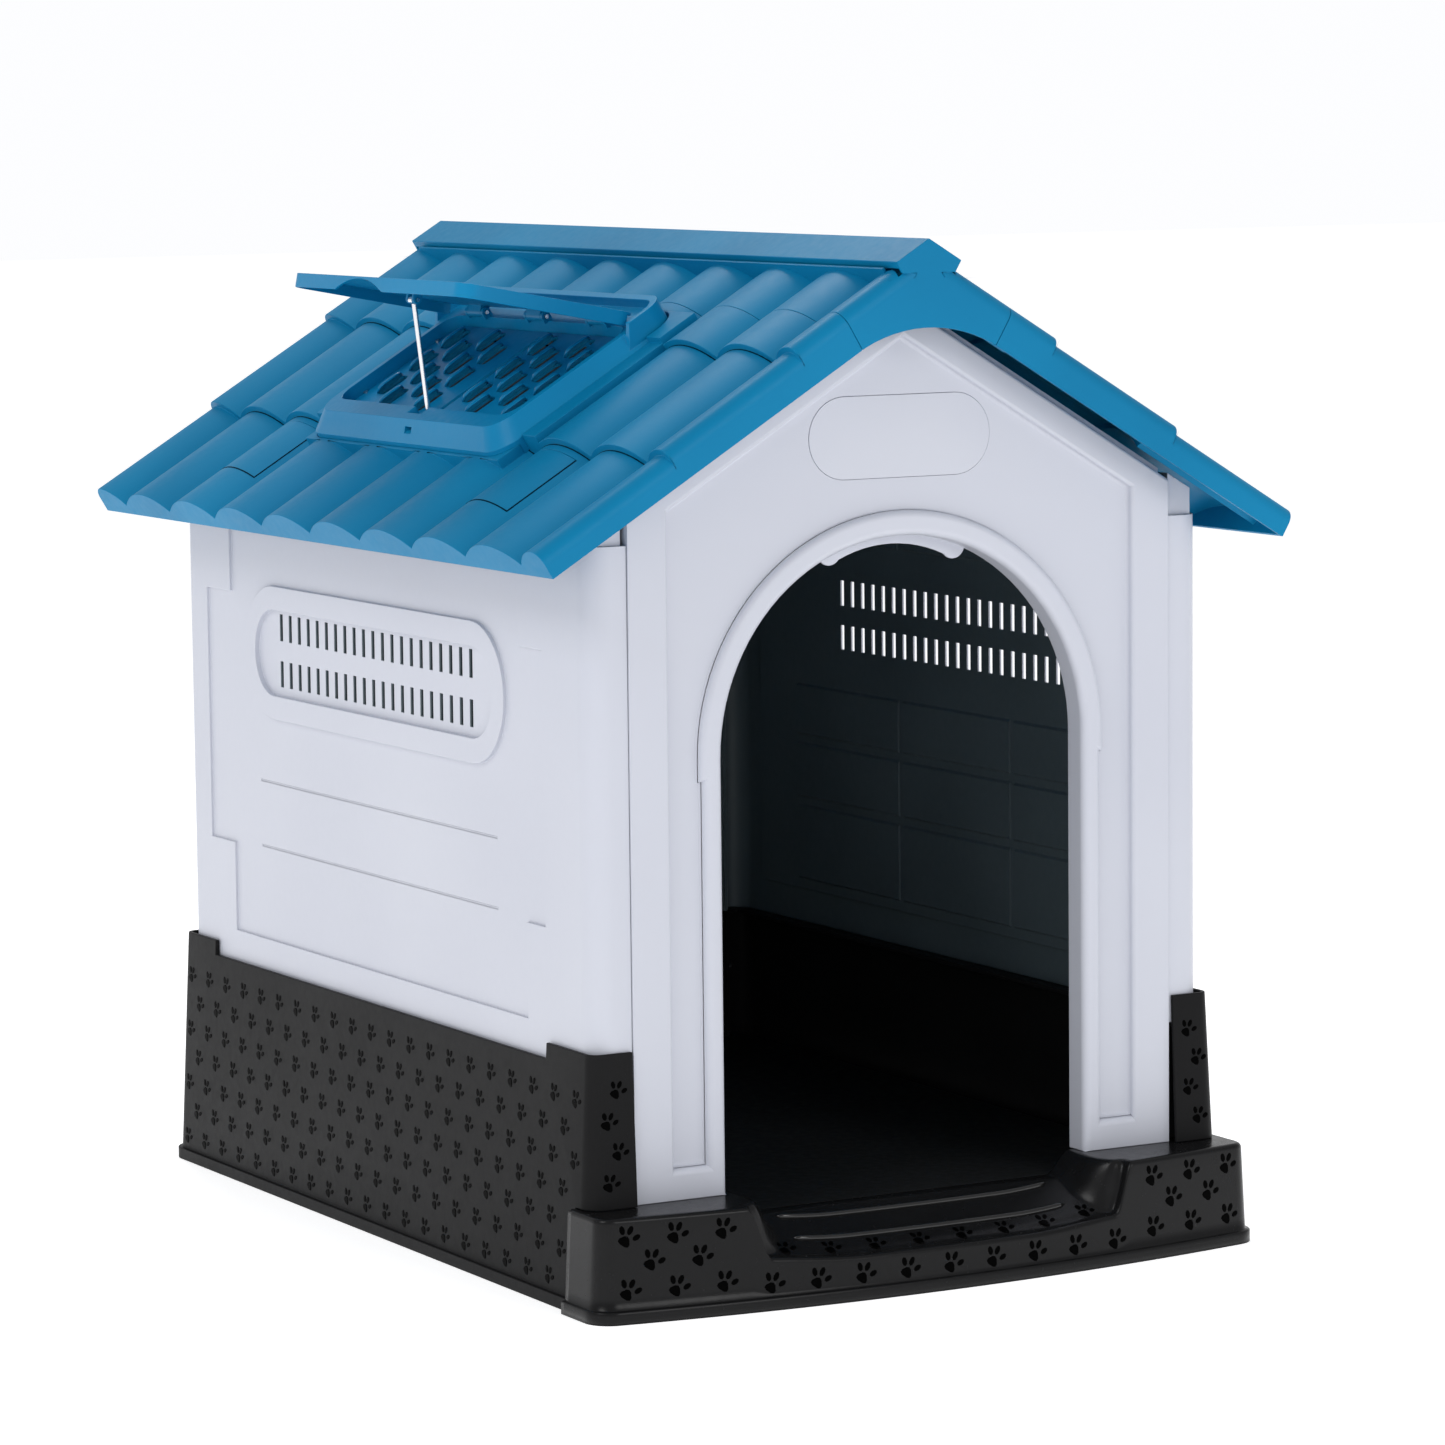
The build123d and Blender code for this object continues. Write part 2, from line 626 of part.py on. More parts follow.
def make_side_wall():
    """Right-hand side wall: corner columns, siding field, louvred vent, top flange."""
    height = wall_top - wall_seat
    shell = extrude(Pos(0, 0, wall_seat) * wall_plan(0), amount=height)
    shell -= extrude(Pos(0, 0, wall_seat - 1) * wall_plan(skin), amount=height + 2)
    wall = shell & block(seam_x, 400, -600, 600, 0, 900)
    for y0, y1 in ((wall_front_y, wall_front_y + lip_depth), (wall_rear_y - lip_depth, wall_rear_y)):
        wall += block(seam_x, seam_x + skin, y0, y1, wall_seat, wall_top)
    side = Plane.YZ
    window = upright_prism(field_outline(), side, wall_half_width - skin - 1, skin + 3)
    plate_x = wall_half_width - field_inset
    wall -= window
    field_y = [y for y, z in field_outline()]
    lap = skin + 2
    field = block(plate_x - skin, plate_x, min(field_y) - lap, max(field_y) + lap, field_bottom - lap, field_top + lap)
    wall += field
    wall += block(wall_half_width - top_flange, wall_half_width - skin / 2, wall_front_y + column_radius,
                  wall_rear_y - column_radius, wall_top - skin, wall_top)
    wall += vent_pad(0, plate_x - skin, wall_half_width + 1)
    wall -= vent_pad(vent_border, plate_x - 1.5, wall_half_width + 5)
    for k in range(slot_count):
        y = vent_y + (k - (slot_count - 1) / 2) * slot_pitch
        for z0, z1 in slot_rows:
            wall -= block(plate_x - skin - 5, wall_half_width + 5, y - slot_width / 2, y + slot_width / 2, z0, z1)
    for z in groove_levels:
        wall -= block(plate_x - 1.2, plate_x + 1, vent_y - 267, vent_y + 267, z - 2, z)
    for y in cover_places:
        place = Pos(roof_screw_x, tile_centre + y, wall_top)
        wall -= place * Cylinder(screw_shaft / 2 + fit, 40)
    wall += corner_post(wall_front_y + skin + 1)
    wall += corner_post(wall_rear_y - skin - 25)
    for y in (wall_front_y, wall_rear_y):
        for z in corner_screw_levels:
            wall -= corner_screw(y, z, fit, True)
    return wall


def vent_pad(margin, x0, x1):
    """Stadium-shaped slab of the vent surround."""
    outline = RectangleRounded(vent_length - 2 * margin, vent_height - 2 * margin,
                               (vent_height - 2 * margin) / 2 - 0.5)
    return extrude(Plane.YZ.offset(x0) * (Pos(vent_y, vent_z) * outline), amount=x1 - x0)


def corner_post(y0):
    """Short post above the wall's corner that reaches into the eave."""
    post = block(seam_x + skin - 1, seam_x + skin + 25, y0, y0 + 24, wall_top - 2 * skin, 800)
    return post & slope_box(0, 500, -600, 600, -200, 4)


def corner_screw(face_y, z, clearance, is_hole):
    """Screw that ties a gable wall's flange to a side wall's return lip."""
    inward = 1 if face_y < 0 else -1
    y = face_y + inward * (lip_depth - 9)
    x0 = seam_x - gap - skin
    x1 = seam_x + skin + 3
    plane = Plane((x0 - 1 if is_hole else x0, y, z), x_dir=(0, 1, 0), z_dir=(1, 0, 0))
    shaft = extrude(plane * Circle(screw_shaft / 2 + clearance), amount=x1 - x0 + (2 if is_hole else 0))
    if is_hole:
        return shaft
    head = extrude(plane.offset(-3) * Circle(screw_head / 2), amount=3)
    return shaft + head


def gable_prism(half, z0, drop, y0, y1):
    """Upright gable outline with its sloping edges a set distance below the fascia line."""
    peak = apex_z - drop / pitch_cos
    shoulder = peak - half * tan(radians(roof_pitch))
    points = [(-half, z0), (half, z0), (half, shoulder), (0, peak), (-half, shoulder)]
    return upright_prism(points, Plane.XZ, -y1, y1 - y0)


def door_prism(half, z0, y0, y1):
    """Round-headed doorway outline."""
    edges = [Line((-half, z0), (half, z0)), Line((half, z0), (half, arch_z))]
    edges.append(ThreePointArc((half, arch_z), (0, arch_z + half), (-half, arch_z)))
    edges.append(Line((-half, arch_z), (-half, z0)))
    return extrude(Plane.XZ.offset(-y1) * make_face(edges), amount=y1 - y0)


def door_ring(inner, outer, z0, y0, y1):
    """Arched ring between two half widths."""
    return door_prism(outer, z0, y0, y1) - door_prism(inner, z0 - 1, y0 - 1, y1 + 1)


def make_front_wall():
    """Gabled front panel: raised border, dished face, doorway moulding, jambs and curtain lip."""
    half = seam_x - gap
    front = panel_front_y
    face = front + face_recess
    back = face + skin
    hollow = front + skin
    plinth_top = step_top + plinth_height
    inner_drop = gable_clearance + gable_band
    jamb = door_half_width + skin
    panel = gable_prism(half, step_top, gable_clearance, front, back)
    panel -= gable_prism(border_half_width, plinth_top, inner_drop, front - 1, face)
    border = gable_prism(half - skin, step_top - 1, gable_clearance + skin, hollow, back + 1)
    border -= gable_prism(border_half_width + skin, plinth_top - skin, inner_drop - skin, hollow - 1, back + 2)
    panel -= border
    foot = door_half_width + moulding_foot_width
    arch = door_half_width + moulding_width
    moulding = door_prism(foot, step_top, front, back)
    moulding += door_prism(arch, step_top, front, back) & block(-400, 400, front, back, moulding_foot_z, 1000)
    panel += moulding
    panel -= door_ring(jamb, foot - skin, step_top - 1, hollow, back + 1)
    panel += door_prism(jamb, step_top, hollow, front + jamb_depth)
    for side in (-1, 1):
        x0, x1 = sorted((side * (half - skin), side * half))
        panel += block(x0, x1, back - 1, wall_front_y + lip_depth - gap, step_top, wall_top + top_lip)
    panel += gable_prism(half - skin, wall_top, -skin, back - 1, back + skin)
    panel -= door_prism(door_half_width, step_top - 1, front - 1, front + jamb_depth + 1)
    panel += curtain(front + jamb_depth)
    panel -= plate_outline(gap, face - 1, face + plate_seat)
    for z in corner_screw_levels:
        hole = corner_screw(wall_front_y, z, fit, True)
        panel -= hole
        panel -= left_of(hole)
    return panel


def curtain(y):
    """Thin lip with hooked ends that hangs inside the top of the doorway."""
    reach = curtain_half_width
    low = arch_z + (door_half_width ** 2 - reach ** 2) ** 0.5
    top = arch_z + door_half_width
    hook = reach - curtain_drop
    edge = reach - 2.5 * curtain_drop
    edges = [ThreePointArc((-reach, low), (0, top + skin / 2), (reach, low))]
    edges.append(ThreePointArc((reach, low), (hook, low - curtain_drop), (edge, low - curtain_drop / 2)))
    edges.append(ThreePointArc((edge, low - curtain_drop / 2), (0, top - curtain_drop), (-edge, low - curtain_drop / 2)))
    edges.append(ThreePointArc((-edge, low - curtain_drop / 2), (-hook, low - curtain_drop), (-reach, low)))
    return extrude(Plane.XZ.offset(-y) * make_face(edges), amount=lid_skin)


def plate_outline(margin, y0, y1):
    """Stadium outline of the blank name plate."""
    height = plate_height + 2 * margin
    outline = RectangleRounded(plate_length + 2 * margin, height, height / 2 - 0.5)
    return extrude(Plane.XZ.offset(-y1) * (Pos(0, plate_z) * outline), amount=y1 - y0)


def make_back_wall():
    """Plain gabled rear panel with stiffening grooves."""
    half = seam_x - gap
    face = wall_rear_y
    panel = gable_prism(half, wall_seat, gable_clearance, face - skin, face)
    for side in (-1, 1):
        x0, x1 = sorted((side * (half - skin), side * half))
        panel += block(x0, x1, face - lip_depth, face - skin + 1, wall_seat, wall_top + top_lip)
    panel += gable_prism(half - skin, wall_top, -4, face - 2 * skin, face - skin + 1)
    for z in groove_levels + (vent_z, wall_top):
        panel -= block(-half + 40, half - 40, face - 1.2, face + 1, z - 2, z)
    for z in corner_screw_levels:
        hole = corner_screw(wall_rear_y, z, fit, True)
        panel -= hole
        panel -= left_of(hole)
    return panel


# ---------------------------------------------------------------- base
def base_plan(grow):
    """Ground outline of the base, grown or shrunk evenly."""
    length = base_rear_y - base_front_y + 2 * grow
    corner = max(base_corner + grow, skin)
    outline = RectangleRounded(2 * (base_half_width + grow), length, corner)
    return Pos(0, (base_rear_y + base_front_y) / 2) * outline


def make_tub():
    """Whole tapered skirt with its wall shelf and floor ledge, before it is parted."""
    tub = extrude(base_plan(0), amount=post_top, taper=base_taper)
    tub += extrude(base_plan(foot_flange), amount=foot_flange_height)
    inside = extrude(base_plan(-skin), amount=post_top + 1, taper=base_taper)
    seats = inside & (seat_ring(wall_seat - skin, wall_seat, shelf_width + 13)
                      + seat_ring(floor_seat - skin, floor_seat, shelf_width + 7))
    tub -= inside
    tub += seats
    mid = (post_front_y + post_rear_y) / 2
    span = post_rear_y - post_front_y
    tub -= Pos(0, mid, skirt_top) * Box(900, span, 40, align=(Align.CENTER, Align.CENTER, Align.MIN))
    tub -= block(-270, 270, 300, 600, skirt_top, post_top + 2)
    tub -= block(-seam_x - 2, seam_x + 2, -600, step_rear_y + 20, 0, post_top + 2)
    tub -= block(-400, 400, -600, step_rear_y, -1, step_top + gap)
    return tub


def seat_ring(z0, z1, width):
    """Inward shelf all round the base."""
    ring = extrude(Pos(0, 0, z0) * base_plan(10), amount=z1 - z0)
    inner = extrude(Pos(0, 0, z0 - 1) * base_plan(-width), amount=z1 - z0 + 2)
    return ring - inner


def make_base_side(tub):
    """Right-hand base moulding: skirt, both posts and the bolting flange."""
    side = tub & block(0, 500, -600, 600, -1, 300)
    side -= block(-1, seam_x + 2, 300, 600, -1, 300)
    rear = base_rear_y - 12
    side += block(seam_x + 2, seam_x + 2 + skin, rear - 30, rear, foot_flange_height, wall_seat - skin)
    for z in bolt_levels:
        side -= base_bolt(z, fit, True)
    return side


def make_base_back(tub):
    """Rear base moulding between the side mouldings."""
    x0 = seam_x + 2 - gap
    back = tub & block(-x0, x0, 300, 600, -1, 300)
    rear = base_rear_y - 12
    for side in (-1, 1):
        low, high = sorted((side * (x0 - skin), side * x0))
        back += block(low, high, rear - 30, rear, foot_flange_height, wall_seat - skin)
    for z in bolt_levels:
        hole = base_bolt(z, fit, True)
        back -= hole
        back -= left_of(hole)
    return back


def base_bolt(z, clearance, is_hole):
    """Bolt through the flanges of a side and the rear base moulding."""
    x0 = seam_x + 2 - gap - skin
    x1 = seam_x + 2 + skin
    reach = 2 if is_hole else 4
    plane = Plane((x0 - (2 if is_hole else 0), base_rear_y - 30, z), x_dir=(0, 1, 0), z_dir=(1, 0, 0))
    shaft = extrude(plane * Circle(bolt_shaft / 2 + clearance), amount=x1 - x0 + 2 * reach)
    if is_hole:
        return shaft
    head = extrude(plane.offset(-4) * RegularPolygon(bolt_head / 2, 6), amount=4)
    return shaft + head


def step_plan(grow):
    """Ground outline of the step with its bowed front, running on behind the step's rear face."""
    wide = step_half_width + grow
    front = step_front_y - grow
    shoulder = front + step_bow
    edges = [ThreePointArc((-wide, shoulder), (0, front), (wide, shoulder))]
    edges.append(Line((wide, shoulder), (wide, 0)))
    edges.append(Line((wide, 0), (-wide, 0)))
    edges.append(Line((-wide, 0), (-wide, shoulder)))
    plan = make_face(edges)
    return fillet(plan.vertices().sort_by(Axis.Y)[:2], step_corner + grow)


def tread_height(y):
    """Height of the sloping tread."""
    return tread_nose + (y - step_front_y) * tan(radians(tread_slope))


def tread_space(grow):
    """Space above the sloping tread, between the rounded corners of the side blocks."""
    wide = tread_half_width + grow
    turn = tread_round + grow
    narrow = wide - turn
    bend_y = step_front_y + tread_setback + tread_round
    middle = (wide - turn * cos(radians(45)), bend_y - turn * sin(radians(45)))
    far = 2 * step_front_y
    edges = [Line((0, 0), (0, far)), Line((0, far), (wide, far)), Line((wide, far), (wide, bend_y - turn))]
    edges.append(ThreePointArc((wide, bend_y - turn), middle, (narrow, bend_y)))
    edges.append(Line((narrow, bend_y), (narrow, 0)))
    edges.append(Line((narrow, 0), (0, 0)))
    plan = extrude(make_face(edges), amount=2 * step_top)
    flat_y = step_front_y + (floor_top - tread_nose) / tan(radians(tread_slope))
    profile = [(far, tread_height(far) - grow), (flat_y, floor_top - grow), (0, floor_top - grow),
               (0, 2 * step_top), (far, 2 * step_top)]
    space = upright_prism(profile, Plane.YZ, -2 * wide, 4 * wide)
    return space & (plan + left_of(plan))


def make_step():
    """Front step: side blocks, sloping tread between them, foot flange and tread ribs."""
    rear = step_rear_y - gap
    behind = block(-500, 500, rear, 100, -1, 300)
    step = extrude(step_plan(0), amount=step_top, taper=base_taper) - tread_space(0)
    step += extrude(step_plan(foot_flange), amount=foot_flange_height)
    hollow = extrude(Pos(0, 0, -1) * step_plan(-skin), amount=step_top + 1 - skin, taper=base_taper)
    hollow -= tread_space(skin)
    hollow -= block(-500, 500, rear - skin, 100, -1, 300)
    step -= hollow
    for y in rib_places:
        step += Pos(0, y, tread_height(y)) * (Rot(0, 90, 0) * Cylinder(rib_radius, 2 * rib_half_length))
    return step - behind


def make_floor(y0, y1):
    """Floor half with a turned-down rim and three legs."""
    half = wall_half_width - 17
    tray = block(-half, half, y0, y1, floor_seat, floor_top)
    tray -= block(-half + skin, half - skin, y0 + skin, y1 - skin, floor_seat - 1, floor_top - skin)
    for x in leg_places():
        leg = Pos(x, (y0 + y1) / 2, pad_height) * Cylinder(
            pad_radius, floor_top - pad_height - 1, align=(Align.CENTER, Align.CENTER, Align.MIN))
        bore = Pos(x, (y0 + y1) / 2, pad_height - 1) * Cylinder(
            pad_radius - skin, floor_top - pad_height - skin, align=(Align.CENTER, Align.CENTER, Align.MIN))
        tray += leg
        tray -= bore
    for x in (-seam_x - 2, seam_x + 2):
        tray -= block(x - skin - 3, x + skin + 3, base_rear_y - 45, base_rear_y, floor_seat - 1, floor_top + 1)
    return tray


def leg_places():
    """X of the floor legs."""
    return (-210.0, 0.0, 210.0)


def make_foot_pads(y_centres):
    """Rubber pads under the floor legs."""
    pads = []
    for y in y_centres:
        for x in leg_places():
            pads.append(Pos(x, y, 0) * Cylinder(
                pad_radius, pad_height, align=(Align.CENTER, Align.CENTER, Align.MIN)))
    return pads


# ---------------------------------------------------------------- build and write
def save(name, *shapes):
    """Write one node."""
    solids = []
    for shape in shapes:
        solids.extend(shape.solids())
    export_step(Compound(children=solids) if len(solids) > 1 else solids[0], "parts/" + name + ".step")


floor_front_span = (step_rear_y + 1, floor_split_y - gap / 2)
floor_rear_span = (floor_split_y + gap / 2, wall_rear_y - 12)
tub = make_tub()
base_right = make_base_side(tub)
save("base_right", base_right)
save("base_left", left_of(base_right))
save("base_back", make_base_back(tub))
save("base_front_step", make_step())
save("floor_front", make_floor(*floor_front_span))
save("floor_rear", make_floor(*floor_rear_span))
save("foot_pads", *make_foot_pads([sum(floor_front_span) / 2, sum(floor_rear_span) / 2]))
bolts = [base_bolt(z, 0, False) for z in bolt_levels]
save("base_bolts", *bolts, *[left_of(bolt) for bolt in bolts])

wall_right = make_side_wall()
save("wall_right", wall_right)
save("wall_left", left_of(wall_right))
save("wall_front", make_front_wall())
save("wall_back", make_back_wall())
plate_face = panel_front_y + face_recess
save("name_plate", plate_outline(0, plate_face - plate_proud, plate_face + plate_seat))
screws = [corner_screw(y, z, 0, False) for y in (wall_front_y, wall_rear_y) for z in corner_screw_levels]
save("corner_screws", *screws, *[left_of(screw) for screw in screws])

roof_right = make_roof_panel()
save("roof_right", roof_right)
save("roof_left", left_of(cut_skylight_opening(roof_right)))
save("roof_ridge", make_ridge())
save("tile_covers", *make_tile_covers())
roof_screws = []
for y in cover_places:
    place = Pos(roof_screw_x, tile_centre + y, 0)
    head = Pos(0, 0, roof_screw_z) * Cylinder(
        screw_head / 2, head_height, align=(Align.CENTER, Align.CENTER, Align.MIN))
    shaft = Pos(0, 0, wall_top - 12) * Cylinder(
        screw_shaft / 2, roof_screw_z - wall_top + 12, align=(Align.CENTER, Align.CENTER, Align.MIN))
    roof_screws.append(place * (head + shaft))
save("roof_screws", *roof_screws, *[left_of(screw) for screw in roof_screws])
ridge_screws = [ridge_screw_solid(y) for y in ridge_screw_places()]
save("ridge_screws", *ridge_screws, *[left_of(screw) for screw in ridge_screws])

save("skylight_frame", left_of(make_skylight_frame()))
save("skylight_grille", left_of(make_grille()))
save("grille_screws", *[left_of(grille_screw_solid(*place, 0, False)) for place in grille_screw_places()])
save("lid_hinge_pins", *[left_of(pin) for pin in make_hinge_pins()])
save("skylight_lid", place_lid(make_lid()))
save("prop_rod", place_lid(make_prop_rod()))
save("rod_pivot_pin", place_lid(make_rod_pin()))

hinge = on_slope(hinge_u, 0, hinge_level)
turn = radians(lid_open)
pivot = on_slope(hinge_u + rod_reach * cos(turn) - rod_drop * sin(turn), 0,
                 hinge_level + rod_reach * sin(turn) + rod_drop * cos(turn))
s1, t1 = rod_end()
fold = 180 + degrees(atan2(t1 - rod_drop, s1 - rod_reach))
print("lid hinge at x, z:", round(-hinge.X, 3), round(hinge.Z, 3))
print("rod pivot at x, z:", round(-pivot.X, 3), round(pivot.Z, 3), "fold", round(fold, 3))
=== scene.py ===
# %% [markdown]
# # A plastic kennel with a tiled roof
#
# The kennel is a set of thin injection mouldings: a black base, four white walls, a blue tiled roof in
# three pieces and a skylight with a propped lid. The CAD model already holds every piece at its real size,
# so this lesson keeps those pieces, rounds their edges, adds the small relief that a mould leaves on the
# surface, and gives each plastic its own finish. The first cell loads the model and keeps its box.

# %% Load the frame
import json
import math

import bmesh
import bpy
import numpy as np
from mathutils import Matrix, Vector

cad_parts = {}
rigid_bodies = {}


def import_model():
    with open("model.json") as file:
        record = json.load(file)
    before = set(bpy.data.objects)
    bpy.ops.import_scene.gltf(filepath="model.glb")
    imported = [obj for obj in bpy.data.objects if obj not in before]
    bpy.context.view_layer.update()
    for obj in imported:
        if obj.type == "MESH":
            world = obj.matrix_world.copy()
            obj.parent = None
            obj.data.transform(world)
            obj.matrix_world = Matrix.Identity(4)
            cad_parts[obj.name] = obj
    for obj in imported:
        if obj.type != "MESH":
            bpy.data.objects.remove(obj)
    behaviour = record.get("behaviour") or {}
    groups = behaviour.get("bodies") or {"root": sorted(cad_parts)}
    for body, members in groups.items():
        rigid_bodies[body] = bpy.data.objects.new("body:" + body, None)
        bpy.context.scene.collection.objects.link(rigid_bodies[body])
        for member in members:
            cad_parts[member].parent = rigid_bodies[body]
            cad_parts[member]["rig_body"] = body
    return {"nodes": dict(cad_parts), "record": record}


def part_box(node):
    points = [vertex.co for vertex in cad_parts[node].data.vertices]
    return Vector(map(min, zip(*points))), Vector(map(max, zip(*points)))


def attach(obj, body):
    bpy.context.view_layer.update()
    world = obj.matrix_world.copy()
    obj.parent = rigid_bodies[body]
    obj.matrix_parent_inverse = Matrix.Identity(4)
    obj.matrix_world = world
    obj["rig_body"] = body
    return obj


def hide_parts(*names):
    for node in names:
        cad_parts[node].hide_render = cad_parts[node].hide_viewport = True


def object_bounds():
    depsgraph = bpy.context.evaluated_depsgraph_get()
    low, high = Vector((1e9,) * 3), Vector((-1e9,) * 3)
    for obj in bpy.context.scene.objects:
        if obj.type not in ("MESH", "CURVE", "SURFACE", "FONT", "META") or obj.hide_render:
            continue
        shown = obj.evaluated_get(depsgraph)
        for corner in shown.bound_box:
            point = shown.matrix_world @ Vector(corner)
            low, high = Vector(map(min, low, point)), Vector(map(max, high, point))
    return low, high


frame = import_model()
cad_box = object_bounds()

# %% [markdown]
# ## Places and directions
#
# The roof's parts lie on two slopes of 31 degrees. It is easier to place things in slope coordinates: u
# runs down the slope from the ridge line, y runs along the roof, and n stands square to the slope. The
# apex height comes from the ridge cap's top, so nothing is typed twice.

# %% Slope coordinates
MM = 0.001
ROOF_PITCH = math.radians(31.0)
RIDGE_CAP_LEVEL = 49.5 * MM
ridge_low, ridge_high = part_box("roof_ridge")
APEX_Z = ridge_high.z - RIDGE_CAP_LEVEL / math.cos(ROOF_PITCH)
SLOPE_MIDDLE_Y = (ridge_low.y + ridge_high.y) / 2 - 7.0 * MM


def on_left_slope(u, y, n):
    """Points over the left wall: x falls by u cos + n sin, z falls by u sin and rises by n cos."""
    u, y, n = np.broadcast_arrays(np.asarray(u, float), np.asarray(y, float), np.asarray(n, float))
    cos, sin = math.cos(ROOF_PITCH), math.sin(ROOF_PITCH)
    return np.stack([-(u * cos + n * sin), y, APEX_Z - u * sin + n * cos], axis=-1)


print("apex of the slopes at z =", round(APEX_Z, 4))

# %% [markdown]
# ## The camera, the floor and the light
#
# A long lens from the front left shows the door side and the vented side together. The camera's axes are
# worked out from an azimuth, an elevation and a slight roll, which is the same as turning a tripod head.

# %% Camera
AZIMUTH, ELEVATION, ROLL = (math.radians(angle) for angle in (-29.02, 6.56, -0.63))
back = Vector((math.sin(AZIMUTH) * math.cos(ELEVATION), -math.cos(AZIMUTH) * math.cos(ELEVATION),
               math.sin(ELEVATION)))
right = Vector((0, 0, 1)).cross(back).normalized()
up = back.cross(right)
right_rolled = math.cos(ROLL) * right + math.sin(ROLL) * up
up_rolled = -math.sin(ROLL) * right + math.cos(ROLL) * up
camera_turn = Matrix((right_rolled, up_rolled, back)).transposed().to_4x4()
CAMERA_PLACE = (-2.7051, -4.9505, 1.1252)
camera = bpy.data.objects.new("camera", bpy.data.cameras.new("camera"))
camera.data.sensor_width = 36.0
camera.data.lens = 140.4
camera.data.shift_x = 0.0049
camera.data.shift_y = 0.0052
camera.data.clip_start = 0.05
camera.matrix_world = Matrix.Translation(CAMERA_PLACE) @ camera_turn
bpy.context.scene.collection.objects.link(camera)
bpy.context.scene.camera = camera
print("camera looks along", [round(-value, 3) for value in back])

# %% [markdown]
# The floor is a sheet of white paper that runs far past the camera's view. In a real studio such paper is
# lit from behind or below until it is as white as the wall at its end, and a faint glow of the surface
# does the same here.

# %% The floor
FLOOR_COLOUR = (0.93, 0.93, 0.93, 1.0)
FLOOR_GLOW = 0.56
FLOOR_REACH = 30.0
floor_paper = bpy.data.materials.new("floor_paper")
floor_paper.use_nodes = True
paper_shader = floor_paper.node_tree.nodes["Principled BSDF"]
paper_shader.inputs["Base Color"].default_value = FLOOR_COLOUR
paper_shader.inputs["Roughness"].default_value = 0.9
paper_shader.inputs["Specular IOR Level"].default_value = 0.0
paper_shader.inputs["Emission Color"].default_value = (1, 1, 1, 1)
paper_shader.inputs["Emission Strength"].default_value = FLOOR_GLOW

floor_mesh = bpy.data.meshes.new("studio_floor")
floor_corners = [(x * FLOOR_REACH, y * FLOOR_REACH, 0) for x, y in ((-1, -1), (1, -1), (1, 1), (-1, 1))]
floor_mesh.from_pydata(floor_corners, [], [(0, 1, 2, 3)])
floor_mesh.materials.append(floor_paper)
studio_floor = bpy.data.objects.new("studio_floor", floor_mesh)
bpy.context.scene.collection.objects.link(studio_floor)
print("floor:", 2 * FLOOR_REACH, "m square")

# %% [markdown]
# Three soft lamps light the kennel: the key lamp high on the left, a weaker one in front, and one behind
# the ridge that draws the roof's edges. The room round them is white at eye level and darker overhead, so
# that upright faces get a bright reflection and level ones keep their colour. The Standard view transform
# shows white as white and leaves the blue as strong as the plastic really is.


# %% Lamps and room
def add_lamp(name, place, target, size, power):
    """A square soft lamp at a place, facing the target point."""
    lamp = bpy.data.lights.new(name, "AREA")
    lamp.shape = "SQUARE"
    lamp.size = size
    lamp.energy = power
    holder = bpy.data.objects.new(name, lamp)
    aim = (Vector(target) - Vector(place)).to_track_quat("-Z", "Y")
    holder.matrix_world = Matrix.Translation(place) @ aim.to_matrix().to_4x4()
    bpy.context.scene.collection.objects.link(holder)


CABIN_MIDDLE, ROOF_MIDDLE = (0, 0, 0.5), (0, 0, 0.8)
add_lamp("key_lamp", (-3.4, -1.2, 3.6), CABIN_MIDDLE, size=1.8, power=52)
add_lamp("front_lamp", (0.9, -4.4, 2.4), CABIN_MIDDLE, size=1.6, power=36)
add_lamp("ridge_lamp", (1.2, 2.6, 4.0), ROOF_MIDDLE, size=1.8, power=75)
bpy.context.scene.view_settings.view_transform = "Standard"

BAND_LOW, BAND_HIGH = 0.14, 0.34        # sines of the heights between which the room darkens
EYE_LEVEL_LIGHT, OVERHEAD_LIGHT = 1.0, 0.48
world = bpy.data.worlds.new("white_room")
world.use_nodes = True
room = world.node_tree
heading = room.nodes.new("ShaderNodeSeparateXYZ")
room.links.new(room.nodes.new("ShaderNodeTexCoord").outputs["Generated"], heading.inputs["Vector"])
band = room.nodes.new("ShaderNodeMapRange")
band_range = (BAND_LOW, BAND_HIGH, EYE_LEVEL_LIGHT, OVERHEAD_LIGHT)
for name, number in zip(("From Min", "From Max", "To Min", "To Max"), band_range):
    band.inputs[name].default_value = number
room.links.new(heading.outputs["Z"], band.inputs["Value"])
room.links.new(band.outputs["Result"], room.nodes["Background"].inputs["Strength"])
room.nodes["Background"].inputs["Color"].default_value = (0.98, 0.985, 1.0, 1.0)
bpy.context.scene.world = world

# %% [markdown]
# ## Plastics
#
# Each plastic is one Principled surface. What a moulded skin really shows is not its colour but its grain:
# a fine stipple that breaks the highlight, a slow drift in tone where the melt cooled, and a gloss that is
# a little higher on one side of the part than the other. So the helper below drives base colour, roughness
# and bump from noise on Object coordinates, at sizes given in millimetres.


# %% Node helpers
def node(tree, kind, **settings):
    """A new shader node of that kind. Settings that name an input fill it, the others are the node's own."""
    made = tree.nodes.new("ShaderNode" + kind)
    for key, value in settings.items():
        if key.startswith("in_"):
            made.inputs[key[3:].replace("_", " ")].default_value = value
        else:
            setattr(made, key, value)
    return made


